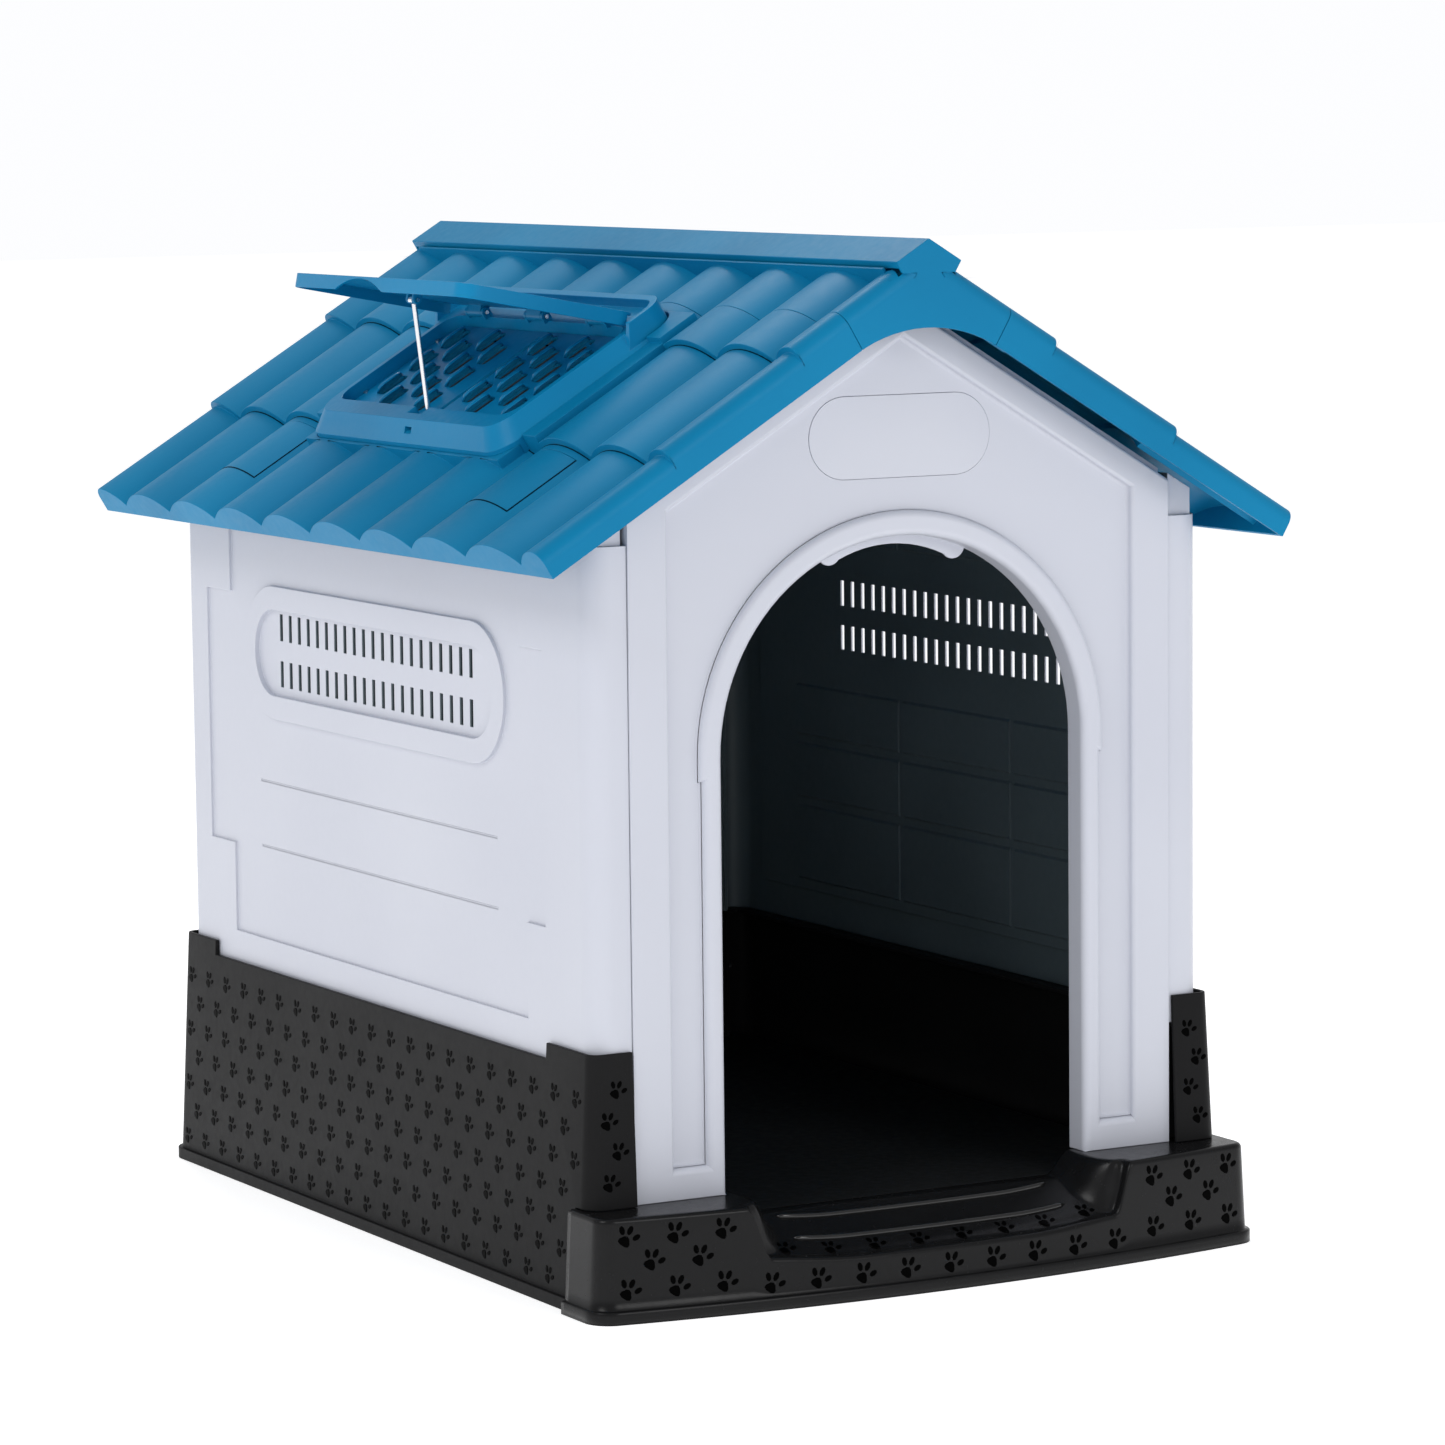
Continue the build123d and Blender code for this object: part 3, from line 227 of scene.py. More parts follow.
def noise(tree, place, size, detail=2.0, stretch=(1, 1, 1)):
    """Noise whose grains are about size metres wide, read at a place, with each axis stretched."""
    mapping = node(tree, "Mapping")
    mapping.inputs["Scale"].default_value = [1.0 / (size * axis) for axis in stretch]
    tree.links.new(place, mapping.inputs["Vector"])
    grain = node(tree, "TexNoise", in_Scale=1.0, in_Detail=detail)
    tree.links.new(mapping.outputs["Vector"], grain.inputs["Vector"])
    return grain.outputs["Fac"]


def ramp(tree, value, low, high, to_low, to_high):
    """Maps a value from (low, high) to (to_low, to_high) in a straight line, and holds it outside."""
    scale = node(tree, "MapRange")
    for name, number in zip(("From Min", "From Max", "To Min", "To Max"), (low, high, to_low, to_high)):
        scale.inputs[name].default_value = number
    tree.links.new(value, scale.inputs["Value"])
    return scale.outputs["Result"]


def tone(tree, value, dark, light):
    """Blend of two colours by a value from 0 to 1."""
    blend = node(tree, "Mix", data_type="RGBA")
    blend.inputs["A"].default_value = (*dark, 1.0)
    blend.inputs["B"].default_value = (*light, 1.0)
    tree.links.new(value, blend.inputs["Factor"])
    return blend.outputs["Result"]


# %% Moulded plastic
def moulded_plastic(name, dark, light, rough, grain, grain_height, drift=0.18, shine=0.4):
    """A plastic whose colour drifts between two tones, with a stipple of the given size and height in metres.

    rough is (glossiest, dullest): the roughness moves between them with a noise six grains wide.
    """
    material = bpy.data.materials.new(name)
    material.use_nodes = True
    tree = material.node_tree
    shader = tree.nodes["Principled BSDF"]
    place = node(tree, "TexCoord").outputs["Object"]
    slow = noise(tree, place, drift, 1.0)
    tree.links.new(tone(tree, ramp(tree, slow, 0.3, 0.7, 0, 1), dark, light), shader.inputs["Base Color"])
    spots = noise(tree, place, grain * 6, 2.0)
    tree.links.new(ramp(tree, spots, 0.25, 0.75, *rough), shader.inputs["Roughness"])
    bump = node(tree, "Bump", in_Strength=1.0, in_Distance=grain_height)
    tree.links.new(noise(tree, place, grain, 1.0), bump.inputs["Height"])
    tree.links.new(bump.outputs["Normal"], shader.inputs["Normal"])
    shader.inputs["Specular IOR Level"].default_value = shine
    return material


roof_blue = moulded_plastic("roof_blue_plastic", (0.001, 0.175, 0.355), (0.002, 0.205, 0.405), (0.38, 0.48),
                            1.6 * MM, 0.05 * MM, shine=0.13)
# Painted light: a lighter copy of the roof's blue, for the skylight's steep faces that lie in shade.
skylight_blue = moulded_plastic("skylight_blue_plastic", (0.002, 0.195, 0.400), (0.003, 0.225, 0.450),
                                (0.30, 0.40), 1.4 * MM, 0.04 * MM, shine=0.16)
base_black = moulded_plastic("base_black_plastic", (0.0115, 0.0115, 0.0120), (0.0150, 0.0150, 0.0156),
                             (0.34, 0.44), 1.2 * MM, 0.10 * MM, shine=0.04)
step_black = moulded_plastic("step_black_plastic", (0.0058, 0.0058, 0.0062), (0.0080, 0.0080, 0.0085),
                             (0.20, 0.28), 1.2 * MM, 0.06 * MM, shine=0.17)
print_black = moulded_plastic("paw_print_black", (0.0006, 0.0006, 0.0006), (0.0009, 0.0009, 0.0009),
                              (0.2, 0.3), 1.2 * MM, 0.01 * MM, shine=0.012)
rib_black = moulded_plastic("glossy_rib_black", (0.004, 0.004, 0.004), (0.006, 0.006, 0.006),
                            (0.08, 0.14), 1.2 * MM, 0.01 * MM, shine=0.6)
floor_black = moulded_plastic("floor_black_plastic", (0.006, 0.0065, 0.007), (0.010, 0.0105, 0.011),
                              (0.45, 0.6), 1.6 * MM, 0.12 * MM, shine=0.3)
pad_rubber = moulded_plastic("pad_rubber", (0.006, 0.006, 0.006), (0.010, 0.010, 0.010), (0.75, 0.9),
                             0.8 * MM, 0.08 * MM, shine=0.3)
# Painted shade: near-black blue for the beads that lie in the roof's gaps in place of their shade.
painted_gap_shade = moulded_plastic("shadow_gap_plastic", (0.0006, 0.010, 0.024), (0.0008, 0.014, 0.030), (0.7, 0.8),
                           1.2 * MM, 0.02 * MM, shine=0.02)
print("plastics:", [m.name for m in bpy.data.materials if "plastic" in m.name])

# %% [markdown]
# The walls are cool white outside. Inside the cabin they are charcoal, which is painted shade: the dark
# colour stands in for the shade that falls inside. Both are plain moulded plastics; which face gets which is
# settled further on, from the way each face looks.

# %% White outside, painted shade inside
WALL_DARK, WALL_LIGHT = (0.545, 0.563, 0.635), (0.578, 0.596, 0.664)
wall_white = moulded_plastic("wall_white_plastic", WALL_DARK, WALL_LIGHT, (0.38, 0.48),
                             1.1 * MM, 0.03 * MM, drift=0.3)
plate_white = moulded_plastic("plate_white_plastic", WALL_DARK, WALL_LIGHT, (0.36, 0.46),
                              1.1 * MM, 0.02 * MM)
# Painted shade: charcoal for the faces inside the cabin, in place of the shade that falls there.
painted_cabin_shade = moulded_plastic("wall_inside_painted_shade", (0.090, 0.122, 0.138), (0.115, 0.152, 0.170),
                                (0.42, 0.55), 1.4 * MM, 0.05 * MM)
print("wall plastics:", wall_white.name, painted_cabin_shade.name)

# %% [markdown]
# Steel is the other finish: the prop rod is bright drawn wire, the screws are zinc plated. Both are metals
# with a fine scratch that runs one way, made by stretching the noise along one axis.


# %% Steel
def steel(name, colour, rough, scratch, stretch):
    """A metal with scratches: noise stretched along one axis moves the roughness and a very low bump."""
    material = bpy.data.materials.new(name)
    material.use_nodes = True
    tree = material.node_tree
    shader = tree.nodes["Principled BSDF"]
    shader.inputs["Metallic"].default_value = 1.0
    place = node(tree, "TexCoord").outputs["Object"]
    lines = noise(tree, place, scratch, 2.0, stretch)
    light = tuple(min(1.0, value * 1.15) for value in colour)
    tree.links.new(tone(tree, lines, colour, light), shader.inputs["Base Color"])
    tree.links.new(ramp(tree, lines, 0.3, 0.7, *rough), shader.inputs["Roughness"])
    bump = node(tree, "Bump", in_Strength=0.6, in_Distance=0.01 * MM)
    tree.links.new(lines, bump.inputs["Height"])
    tree.links.new(bump.outputs["Normal"], shader.inputs["Normal"])
    return material


rod_steel = steel("bright_steel", (0.72, 0.73, 0.75), (0.12, 0.24), 0.6 * MM, (1, 1, 12))
screw_steel = steel("zinc_steel", (0.52, 0.53, 0.55), (0.25, 0.42), 0.5 * MM, (6, 1, 1))
FINISHES = {"base_black": base_black, "floor_black": floor_black, "wall_white": wall_white,
            "plate_white": plate_white, "roof_blue": roof_blue, "skylight_blue": skylight_blue,
            "pad_rubber": pad_rubber, "rod_steel": rod_steel, "steel_fixings": screw_steel}
slot_of = {part["node"]: part["material_slot"] for part in frame["record"]["subparts"]}
for name, cad_node in frame["nodes"].items():
    cad_node.data.materials.clear()
    cad_node.data.materials.append(FINISHES[slot_of[name]])
print("finishes:", sorted(FINISHES))

# %% [markdown]
# ## Mouldings with rounded edges
#
# No moulded edge is sharp: the cutter leaves half a millimetre or more, and that thin round is what
# catches the light along every rim. A CAD mesh is loose triangles, so each big moulding is copied, its
# doubled points are merged, its flat stretches are joined into whole faces, and a Bevel modifier rounds
# every edge that turns by more than its angle. The copy then stands for the CAD node, rides on the same
# body and keeps its finish.


# %% Copy, merge and round
MITRE_ROOM = 0.9 * MM


def rounded_copy(name, radius, wider=None, least_turn=28.0, segments=2):
    """The CAD node's own surface with merged points, flat faces joined, and its sharp edges rounded.

    wider, where given, takes the edges' middles as an array and returns the radius of each edge. Points
    at the kennel's very rear are drawn in by MITRE_ROOM, as a bevel's mitre reaches past a sharp corner.
    """
    source = frame["nodes"][name]
    shape = bmesh.new()
    shape.from_mesh(source.data)
    bmesh.ops.remove_doubles(shape, verts=shape.verts, dist=0.004 * MM)
    bmesh.ops.dissolve_limit(shape, angle_limit=math.radians(0.4), verts=shape.verts, edges=shape.edges)
    sharp = [len(e.link_faces) != 2 or e.calc_face_angle(0.0) > math.radians(least_turn) for e in shape.edges]
    for face in shape.faces:
        face.smooth = True
    for edge, is_sharp in zip(shape.edges, sharp):
        edge.smooth = not is_sharp
    middles = np.array([(e.verts[0].co + e.verts[1].co) / 2 for e in shape.edges])
    mesh = bpy.data.meshes.new(name + "_moulding")
    shape.to_mesh(mesh)
    shape.free()
    places = np.zeros(len(mesh.vertices) * 3)
    mesh.vertices.foreach_get("co", places)
    places[1::3] = np.minimum(places[1::3], cad_box[1][1] - MITRE_ROOM)
    mesh.vertices.foreach_set("co", places)
    mesh.materials.append(FINISHES[slot_of[name]])
    radii = np.full(len(mesh.edges), radius) if wider is None else wider(middles, radius)
    weights = mesh.attributes.new("bevel_weight_edge", "FLOAT", "EDGE")
    weights.data.foreach_set("value", np.where(sharp, radii / radii.max(), 0.0).astype(np.float32))
    piece = bpy.data.objects.new(name + "_moulding", mesh)
    bpy.context.scene.collection.objects.link(piece)
    bevel = piece.modifiers.new("moulded_edges", "BEVEL")
    bevel.width = radii.max()
    bevel.segments = segments
    bevel.limit_method = "WEIGHT"
    bevel.use_clamp_overlap = False
    bevel.harden_normals = True
    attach(piece, source["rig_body"])
    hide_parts(name)
    return piece


EDGE_RADII = {"base_left": 0.9, "base_right": 0.9, "base_back": 0.9,
              "wall_left": 0.8, "wall_right": 0.8, "wall_back": 0.8,
              "roof_left": 0.7, "roof_right": 0.7, "roof_ridge": 0.8, "tile_covers": 0.3,
              "skylight_frame": 0.6, "skylight_lid": 0.5, "skylight_grille": 0.4, "name_plate": 0.3}
mouldings = {name: rounded_copy(name, radius * MM) for name, radius in EDGE_RADII.items()}
print("rounded mouldings:", len(mouldings))

# %% [markdown]
# The front panel has softer shapes than the rest. The frame round the doorway is a convex moulding, and
# the raised border runs down to the dished face in a gentle S. Both come from the same Bevel modifier: an
# edge's bevel weight says how wide its round is, so the edges of the moulding and of the border get
# several millimetres.

# %% The front panel's mouldings
ARCH_Z = 505.0 * MM
DOOR_HALF_WIDTH = 197.0 * MM
PANEL_FRONT_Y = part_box("wall_front")[0].y
FACE_Y = PANEL_FRONT_Y + 8.5 * MM
PLINTH_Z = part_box("wall_front")[0].z + 30.0 * MM
MOULDING_WIDTH = 26.0 * MM
MOULDING_ROUND, MOULDING_FOOT_ROUND = 7.5 * MM, 1.8 * MM
BORDER_ROUND, PLATE_ROUND = 4.0 * MM, 0.4 * MM
NEAR = 0.3 * MM
plate_foot, plate_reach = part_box("name_plate")
plate_middle = (plate_foot.z + plate_reach.z) / 2


def front_panel_radii(middles, plain):
    """A radius for each edge of the front panel.

    Distance from the doorway is |x| below the arch's centre, and the distance from that centre above it.
    """
    x, y, z = middles.T
    from_door = np.where(z > ARCH_Z, np.hypot(x, z - ARCH_Z), np.abs(x)) - DOOR_HALF_WIDTH
    at_front = np.abs(y - PANEL_FRONT_Y) < NEAR
    at_face = np.abs(y - FACE_Y) < NEAR
    moulding = (from_door > -1 * MM) & (from_door < MOULDING_WIDTH)
    beside_moulding = from_door > MOULDING_WIDTH
    inside_border = (np.abs(x) < 254 * MM) & (z > 110 * MM) & beside_moulding
    at_plate = (np.abs(x) < plate_reach.x + 1 * MM) & (np.abs(z - plate_middle) < 42 * MM)
    radii = np.full(len(x), plain)
    radii[at_front & moulding] = MOULDING_ROUND
    radii[(at_front | at_face) & inside_border] = BORDER_ROUND
    radii[at_face & moulding] = MOULDING_FOOT_ROUND
    radii[at_face & at_plate] = PLATE_ROUND
    radii[at_front & beside_moulding & (np.abs(z - PLINTH_Z) < 1 * MM)] = MOULDING_ROUND
    return radii


mouldings["wall_front"] = rounded_copy("wall_front", 0.9 * MM, front_panel_radii, segments=4)
print("front panel rounds:", mouldings["wall_front"].modifiers[0].width)

# %% [markdown]
# The inner faces of the walls take the charcoal of painted shade. A face counts as inner when it looks
# towards the middle of the cabin, or lies in the depth of the side walls' skin, as the walls of the left
# vent's slots do, so those slots read dark with painted shade. The right vent's slots are seen from inside,
# against the light, so their own walls stay white.


# %% Painted shade on the inner faces
def paint_inner_faces(piece, is_inner):
    """Gives the second material to the faces for which is_inner(centres, normals) holds."""
    mesh = piece.data
    mesh.materials.append(painted_cabin_shade)
    centres = np.zeros(len(mesh.polygons) * 3)
    normals = np.zeros(len(mesh.polygons) * 3)
    mesh.polygons.foreach_get("center", centres)
    mesh.polygons.foreach_get("normal", normals)
    inner = is_inner(centres.reshape(-1, 3), normals.reshape(-1, 3))
    mesh.polygons.foreach_set("material_index", inner.astype(np.int32))
    return int(inner.sum())


wall_low, wall_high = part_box("wall_right")
COLUMN = 25.0 * MM
VENT_Y, VENT_REACH, VENT_LOW = 20.5 * MM, 230.0 * MM, 515.0 * MM
SKIN_BACK_X = wall_high.x - 6.0 * MM


def side_wall_inner(centres, normals):
    """Looks inwards across the cabin, or along it from behind a column, or lies behind the outer skin."""
    x, y, z = centres.T
    across = normals[:, 0] * np.sign(x)
    front, rear = wall_low.y + COLUMN, wall_high.y - COLUMN
    behind_skin = (np.abs(x) < SKIN_BACK_X) & (y > front) & (y < rear)
    from_front_column = (y < front + COLUMN) & (normals[:, 1] > 0.3)
    from_rear_column = (y > rear - COLUMN) & (normals[:, 1] < -0.3)
    from_column = from_front_column | from_rear_column
    white_slot = (x > 0) & (np.abs(normals[:, 0]) < 0.3) & (np.abs(y - VENT_Y) < VENT_REACH) & (z > VENT_LOW)
    inner = (across < -0.3) | behind_skin | (from_column & (np.abs(x) < wall_high.x - 3 * MM))
    return inner & ~white_slot


print("charcoal faces:",
      paint_inner_faces(mouldings["wall_left"], side_wall_inner),
      paint_inner_faces(mouldings["wall_right"], side_wall_inner),
      paint_inner_faces(mouldings["wall_front"], lambda c, n: (n[:, 1] > 0.5) & (c[:, 1] > FACE_Y + 2 * MM)),
      paint_inner_faces(mouldings["wall_back"], lambda c, n: n[:, 1] < -0.5))

# %% [markdown]
# ## Pieces worked out from formulas
#
# The rest of the kennel's relief is made from grids of points. Two helpers turn such a grid into a mesh
# object: one lists the four-sided faces between neighbouring points, the other makes the object, turns the
# faces of a closed piece outward and tells the frame which body it rides on.


# %% Grids into meshes
def new_piece(name, points, faces, material, body, closed=True):
    """A smooth-shaded mesh object at the origin that rides on a body. A closed one is turned outward."""
    mesh = bpy.data.meshes.new(name)
    mesh.from_pydata(np.asarray(points, float).reshape(-1, 3).tolist(), [], faces)
    if closed:
        shape = bmesh.new()
        shape.from_mesh(mesh)
        bmesh.ops.recalc_face_normals(shape, faces=shape.faces)
        shape.to_mesh(mesh)
        shape.free()
    mesh.polygons.foreach_set("use_smooth", np.ones(len(mesh.polygons), bool))
    mesh.materials.append(material)
    mesh.update()
    piece = bpy.data.objects.new(name, mesh)
    bpy.context.scene.collection.objects.link(piece)
    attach(piece, body)
    return piece


def grid_faces(rows, columns, close_columns=False):
    """Four-sided faces of a grid whose point (i, j) has the number i * columns + j."""
    wide = columns if close_columns else columns - 1
    i, j = np.meshgrid(np.arange(rows - 1), np.arange(wide), indexing="ij")
    k = (j + 1) % columns
    quads = np.stack([i * columns + j, i * columns + k, (i + 1) * columns + k, (i + 1) * columns + j], -1)
    return quads.reshape(-1, 4).tolist()


def bar_faces(sections, around=4):
    """Faces of a closed bar: its sides, from section to section, and one face at each end."""
    last = (sections - 1) * around
    ends = [list(range(around)), [last + j for j in range(around)]]
    return grid_faces(sections, around, close_columns=True) + ends


print("helpers: new_piece, grid_faces, bar_faces")

# %% [markdown]
# ## Siding strakes inside the cabin
#
# The side walls are stiffened from inside by broad flat strakes with narrow gaps between them, which show
# through the doorway as dark lines. A strake is one profile, a low plateau with sloping edges, carried
# along the wall.


# %% Strakes on the inner faces
STRAKE_HEIGHT = 2.5 * MM
INNER_FACE_X = wall_high.x - 8.2 * MM


def strake(side, y0, y1, z0, z1):
    """Corners of a bar: a profile in (x, z) at y0 and y1 that stands STRAKE_HEIGHT off the inner face."""
    profile = [(0, z0), (STRAKE_HEIGHT, z0 + STRAKE_HEIGHT), (STRAKE_HEIGHT, z1 - STRAKE_HEIGHT), (0, z1)]
    return [(side * (INNER_FACE_X - rise), y, z) for y in (y0, y1) for rise, z in profile]


STRAKE_ROWS = ((262, 344), (352, 412), (420, 476), (634, 684))
STRAKE_SPANS = ((-330, -112), (-104, 108), (116, 330))
for side, name in ((-1, "left"), (1, "right")):
    bars = [strake(side, y0 * MM, y1 * MM, z0 * MM, z1 * MM)
            for z0, z1 in STRAKE_ROWS for y0, y1 in STRAKE_SPANS]
    faces = [[k + 8 * number for k in face] for number in range(len(bars)) for face in bar_faces(2)]
    # The strakes take the charcoal of painted shade, as the inner faces do.
    piece = new_piece(f"siding_strakes_{name}", bars, faces, painted_cabin_shade, "kennel")
    piece.data.polygons.foreach_set("use_smooth", np.zeros(len(faces), bool))
print("strakes on each wall:", len(STRAKE_ROWS) * len(STRAKE_SPANS))

# %% [markdown]
# ## The front step, a surface of two parameters
#
# The step is one soft form: a bowed front, two blocks that carry the front wall, and between them a
# sloping tread that the blocks run into with an S-shaped shoulder. A box model with bevels can't give that
# shoulder, but a height that depends on x and y can. So the step is a grid: one parameter runs round the
# outline, the other goes up the front face, round its edge, and back across the top. The rows meet a flat
# rear and a flat underside, which close the body.


# %% Outline and height of the step
def smooth_rise(value):
    """0 below 0, 1 above 1, and 3v^2 - 2v^3 between."""
    v = np.clip(value, 0, 1)
    return v * v * (3 - 2 * v)


step_low, step_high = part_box("base_front_step")
FLANGE = 4.0 * MM
STEP_FRONT = step_low.y + FLANGE
STEP_REAR = step_high.y
STEP_HALF = step_high.x - FLANGE
STEP_TOP = step_high.z
STEP_BOW = 32.0 * MM
STEP_CORNER = 22.0 * MM
BOW_RADIUS = (STEP_HALF ** 2 + STEP_BOW ** 2) / (2 * STEP_BOW)
TAPER = math.tan(math.radians(2.79))
NOSE_Z = 37.0 * MM
TREAD_RISE = math.tan(math.radians(25.0))
FLOOR_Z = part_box("floor_front")[1].z


def bow_y(x):
    """The bowed front: an arc of BOW_RADIUS that touches STEP_FRONT at x = 0."""
    return STEP_FRONT + BOW_RADIUS - np.sqrt(BOW_RADIUS ** 2 - x ** 2)


def tread_height(x, y):
    """The tread climbs at 25 degrees from its nose to the floor; the nose lifts towards the blocks."""
    nose = NOSE_Z + 8 * MM * smooth_rise((np.abs(x) - 90 * MM) / (130 * MM))
    return np.minimum(nose + (y - bow_y(x)) * TREAD_RISE, FLOOR_Z)


def step_height(x, y):
    """Tread between the blocks, block top outside, blended across an S-shaped shoulder.

    The shoulder's foot lies 170 mm from the middle at the rear and swings out to 212 mm at the front,
    along a quarter circle of 42 mm.
    """
    forward = np.clip((-466 * MM - y) / (42 * MM), 0, 1)
    foot = 170 * MM + 42 * MM * (1 - np.sqrt(1 - forward ** 2))
    share = smooth_rise((np.abs(x) - foot + 7 * MM) / (27 * MM))
    tread = tread_height(x, y)
    return tread + (STEP_TOP - tread) * share


def step_outline(count=300):
    """Plan of the step's foot from the left rear round to the right rear, with the outward directions."""
    centre_x = STEP_HALF - STEP_CORNER
    bow_centre = STEP_FRONT + BOW_RADIUS
    centre_y = bow_centre - math.sqrt((BOW_RADIUS - STEP_CORNER) ** 2 - centre_x ** 2)
    lean = math.atan2(centre_x, bow_centre - centre_y)
    half = np.linspace(0, 1, count // 2) ** 0.9 * lean
    front = np.stack([BOW_RADIUS * np.sin(half), bow_centre - BOW_RADIUS * np.cos(half)], -1)
    turn = np.linspace(lean, math.pi / 2, 12)[1:]
    corner = np.stack([centre_x + STEP_CORNER * np.sin(turn), centre_y - STEP_CORNER * np.cos(turn)], -1)
    side_y = np.linspace(centre_y, STEP_REAR, 8)[1:]
    side = np.stack([np.full(7, STEP_HALF), side_y], -1)
    out = np.concatenate([half, turn, np.full(7, math.pi / 2)])
    right_half = np.concatenate([front, corner, side])
    outward = np.stack([np.sin(out), -np.cos(out)], -1)
    flip = np.array([-1.0, 1.0])
    points = np.concatenate([(right_half * flip)[:0:-1], right_half])
    return points, np.concatenate([(outward * flip)[:0:-1], outward])


step_plan, step_out = step_outline()
print("step outline:", len(step_plan), "points, bow radius", round(BOW_RADIUS, 3))


# %% [markdown]
# Each row of the grid is the plan moved in or out by an offset and lifted to a height: up round the foot
# flange, up the tapered front, round the top edge through 90 degrees, and then straight back to the rear.
# Two flat faces, the underside and the rear, close the body.

# %% The step
EDGE = 5.0 * MM
FLANGE_TOP = 12.0 * MM
at_wall = step_plan - step_out * 10 * MM
rim_z = step_height(at_wall[:, 0], at_wall[:, 1])
wall_foot = FLANGE_TOP + 1 * MM
foot_profile = ((FLANGE, 0.0), (FLANGE, FLANGE_TOP - 1 * MM), (FLANGE - 0.9 * MM, FLANGE_TOP),
                (0.8 * MM, FLANGE_TOP + 0.2 * MM), (-wall_foot * TAPER, wall_foot))
rows = [(np.full_like(rim_z, offset), np.full_like(rim_z, level)) for offset, level in foot_profile]
for share in np.linspace(0, 1, 8)[1:]:
    z = wall_foot + (rim_z - EDGE - wall_foot) * share
    rows.append((-z * TAPER, z))
for angle in np.radians([18, 36, 54, 72, 90]):
    edge_foot = rim_z - EDGE
    rows.append((-edge_foot * TAPER - EDGE * (1 - math.cos(angle)), edge_foot + EDGE * math.sin(angle)))
step_rows = [np.stack([step_plan[:, 0] + step_out[:, 0] * off, step_plan[:, 1] + step_out[:, 1] * off, z], -1)
             for off, z in rows]
edge_row = step_rows[-1]
rear_x = np.clip(edge_row[:, 0], -STEP_HALF + 6 * MM, STEP_HALF - 6 * MM)
for share in np.linspace(0, 1, 34)[1:]:
    x = edge_row[:, 0] * (1 - share) + rear_x * share
    y = edge_row[:, 1] * (1 - share) + STEP_REAR * share
    z = step_height(x, y) * smooth_rise(share * 6) + edge_row[:, 2] * (1 - smooth_rise(share * 6))
    step_rows.append(np.stack([x, y, z], -1))
step_points = np.array(step_rows)
step_points[..., 1] = np.minimum(step_points[..., 1], STEP_REAR)
n_rows, n_columns = step_points.shape[:2]
step_faces = grid_faces(n_rows, n_columns)
left_side = [row * n_columns for row in range(n_rows)]
last_row = [left_side[-1] + j for j in range(1, n_columns)]
right_side = [(row + 1) * n_columns - 1 for row in range(n_rows - 1)]
step_faces.append(list(range(n_columns)))
step_faces.append(left_side + last_row + right_side[::-1])
front_step = new_piece("front_step", step_points, step_faces, step_black, "kennel")
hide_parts("base_front_step")
print("front step:", len(step_faces), "faces")

# %% [markdown]
# Two bowed ribs give grip on the tread. Each is a half-round profile carried along the step's own bow,
# with its ends drawn down to nothing.


# %% Ribs on the tread
def tread_rib(y, half_length, radius, count=60, around=12):
    """A tube along (x, bow(x) + y): its radius is constant and closes over the last 4 percent at each end."""
    x = np.linspace(-half_length, half_length, count)
    path_y = y + (bow_y(x) - bow_y(0))
    size = radius * np.sqrt(np.clip(1 - (np.abs(x) / half_length) ** 40, 1e-4, 1))
    turn = np.linspace(0, 2 * math.pi, around, endpoint=False)
    rise = step_height(x, path_y)
    points = np.stack(np.broadcast_arrays(
        x[:, None],
        path_y[:, None] + size[:, None] * np.cos(turn),
        rise[:, None] + size[:, None] * np.sin(turn)), -1)
    return points, bar_faces(count, around)


RIB_PLACES, RIB_REACH, RIB_RADIUS = (-455 * MM, -487 * MM), 150 * MM, 3.4 * MM
for number, rib_y in enumerate(RIB_PLACES, 1):
    rib_points, rib_faces = tread_rib(rib_y, RIB_REACH, RIB_RADIUS)
    new_piece(f"tread_rib_{number}", rib_points, rib_faces, rib_black, "kennel")
print("tread ribs:", len(RIB_PLACES))

# %% [markdown]
# ## Paw prints
#
# Hundreds of small raised paw prints cover the black base. A print is a pad and three toes, each a low
# plateau of a few faces, so the whole crowd stays light. One print is worked out in its own plane, and
# then all its copies are placed at once: each copy is origin + a * across + b * up + h * outward, as whole
# arrays.


# %% One print and its copies
def plateau(centre, size, tilt, lobe=0.0, sides=8):
    """Ring of points round an oval: a foot ring just below the surface and a smaller ring above it.

    lobe makes the oval's radius swell and shrink three times on its way round, as on a pad.
    """
    turn = np.linspace(0, 2 * math.pi, sides, endpoint=False)
    reach = 1 + lobe * np.cos(3 * (turn - math.pi / 2))
    a, b = size[0] * reach * np.cos(turn), size[1] * reach * np.sin(turn)
    ring = np.stack([centre[0] + a * math.cos(tilt) - b * math.sin(tilt),
                     centre[1] + a * math.sin(tilt) + b * math.cos(tilt)], -1)
    middle = np.array(centre)
    top = middle + (ring - middle) * 0.80
    points = np.concatenate([np.c_[ring, np.full(sides, -0.04)], np.c_[top, np.full(sides, 0.05)]])
    faces = [[j, (j + 1) % sides, sides + (j + 1) % sides, sides + j] for j in range(sides)]
    return points, faces + [list(range(sides))[::-1], list(range(sides, 2 * sides))]


def paw_print():
    """A pad and three toes, in a square from -1 to 1."""
    parts = [plateau((-0.30, -0.36), (0.56, 0.46), math.radians(-35), 0.14, 12),
             plateau((-0.46, 0.54), (0.26, 0.42), math.radians(12)),
             plateau((0.22, 0.50), (0.26, 0.44), math.radians(-28)),
             plateau((0.72, -0.10), (0.25, 0.40), math.radians(-62))]
    points, faces, start = [], [], 0
    for ring_points, ring_faces in parts:
        points.append(ring_points)
        faces += [[start + k for k in face] for face in ring_faces]
        start += len(ring_points)
    return np.concatenate(points), faces


PRINT_POINTS, PRINT_FACES = paw_print()


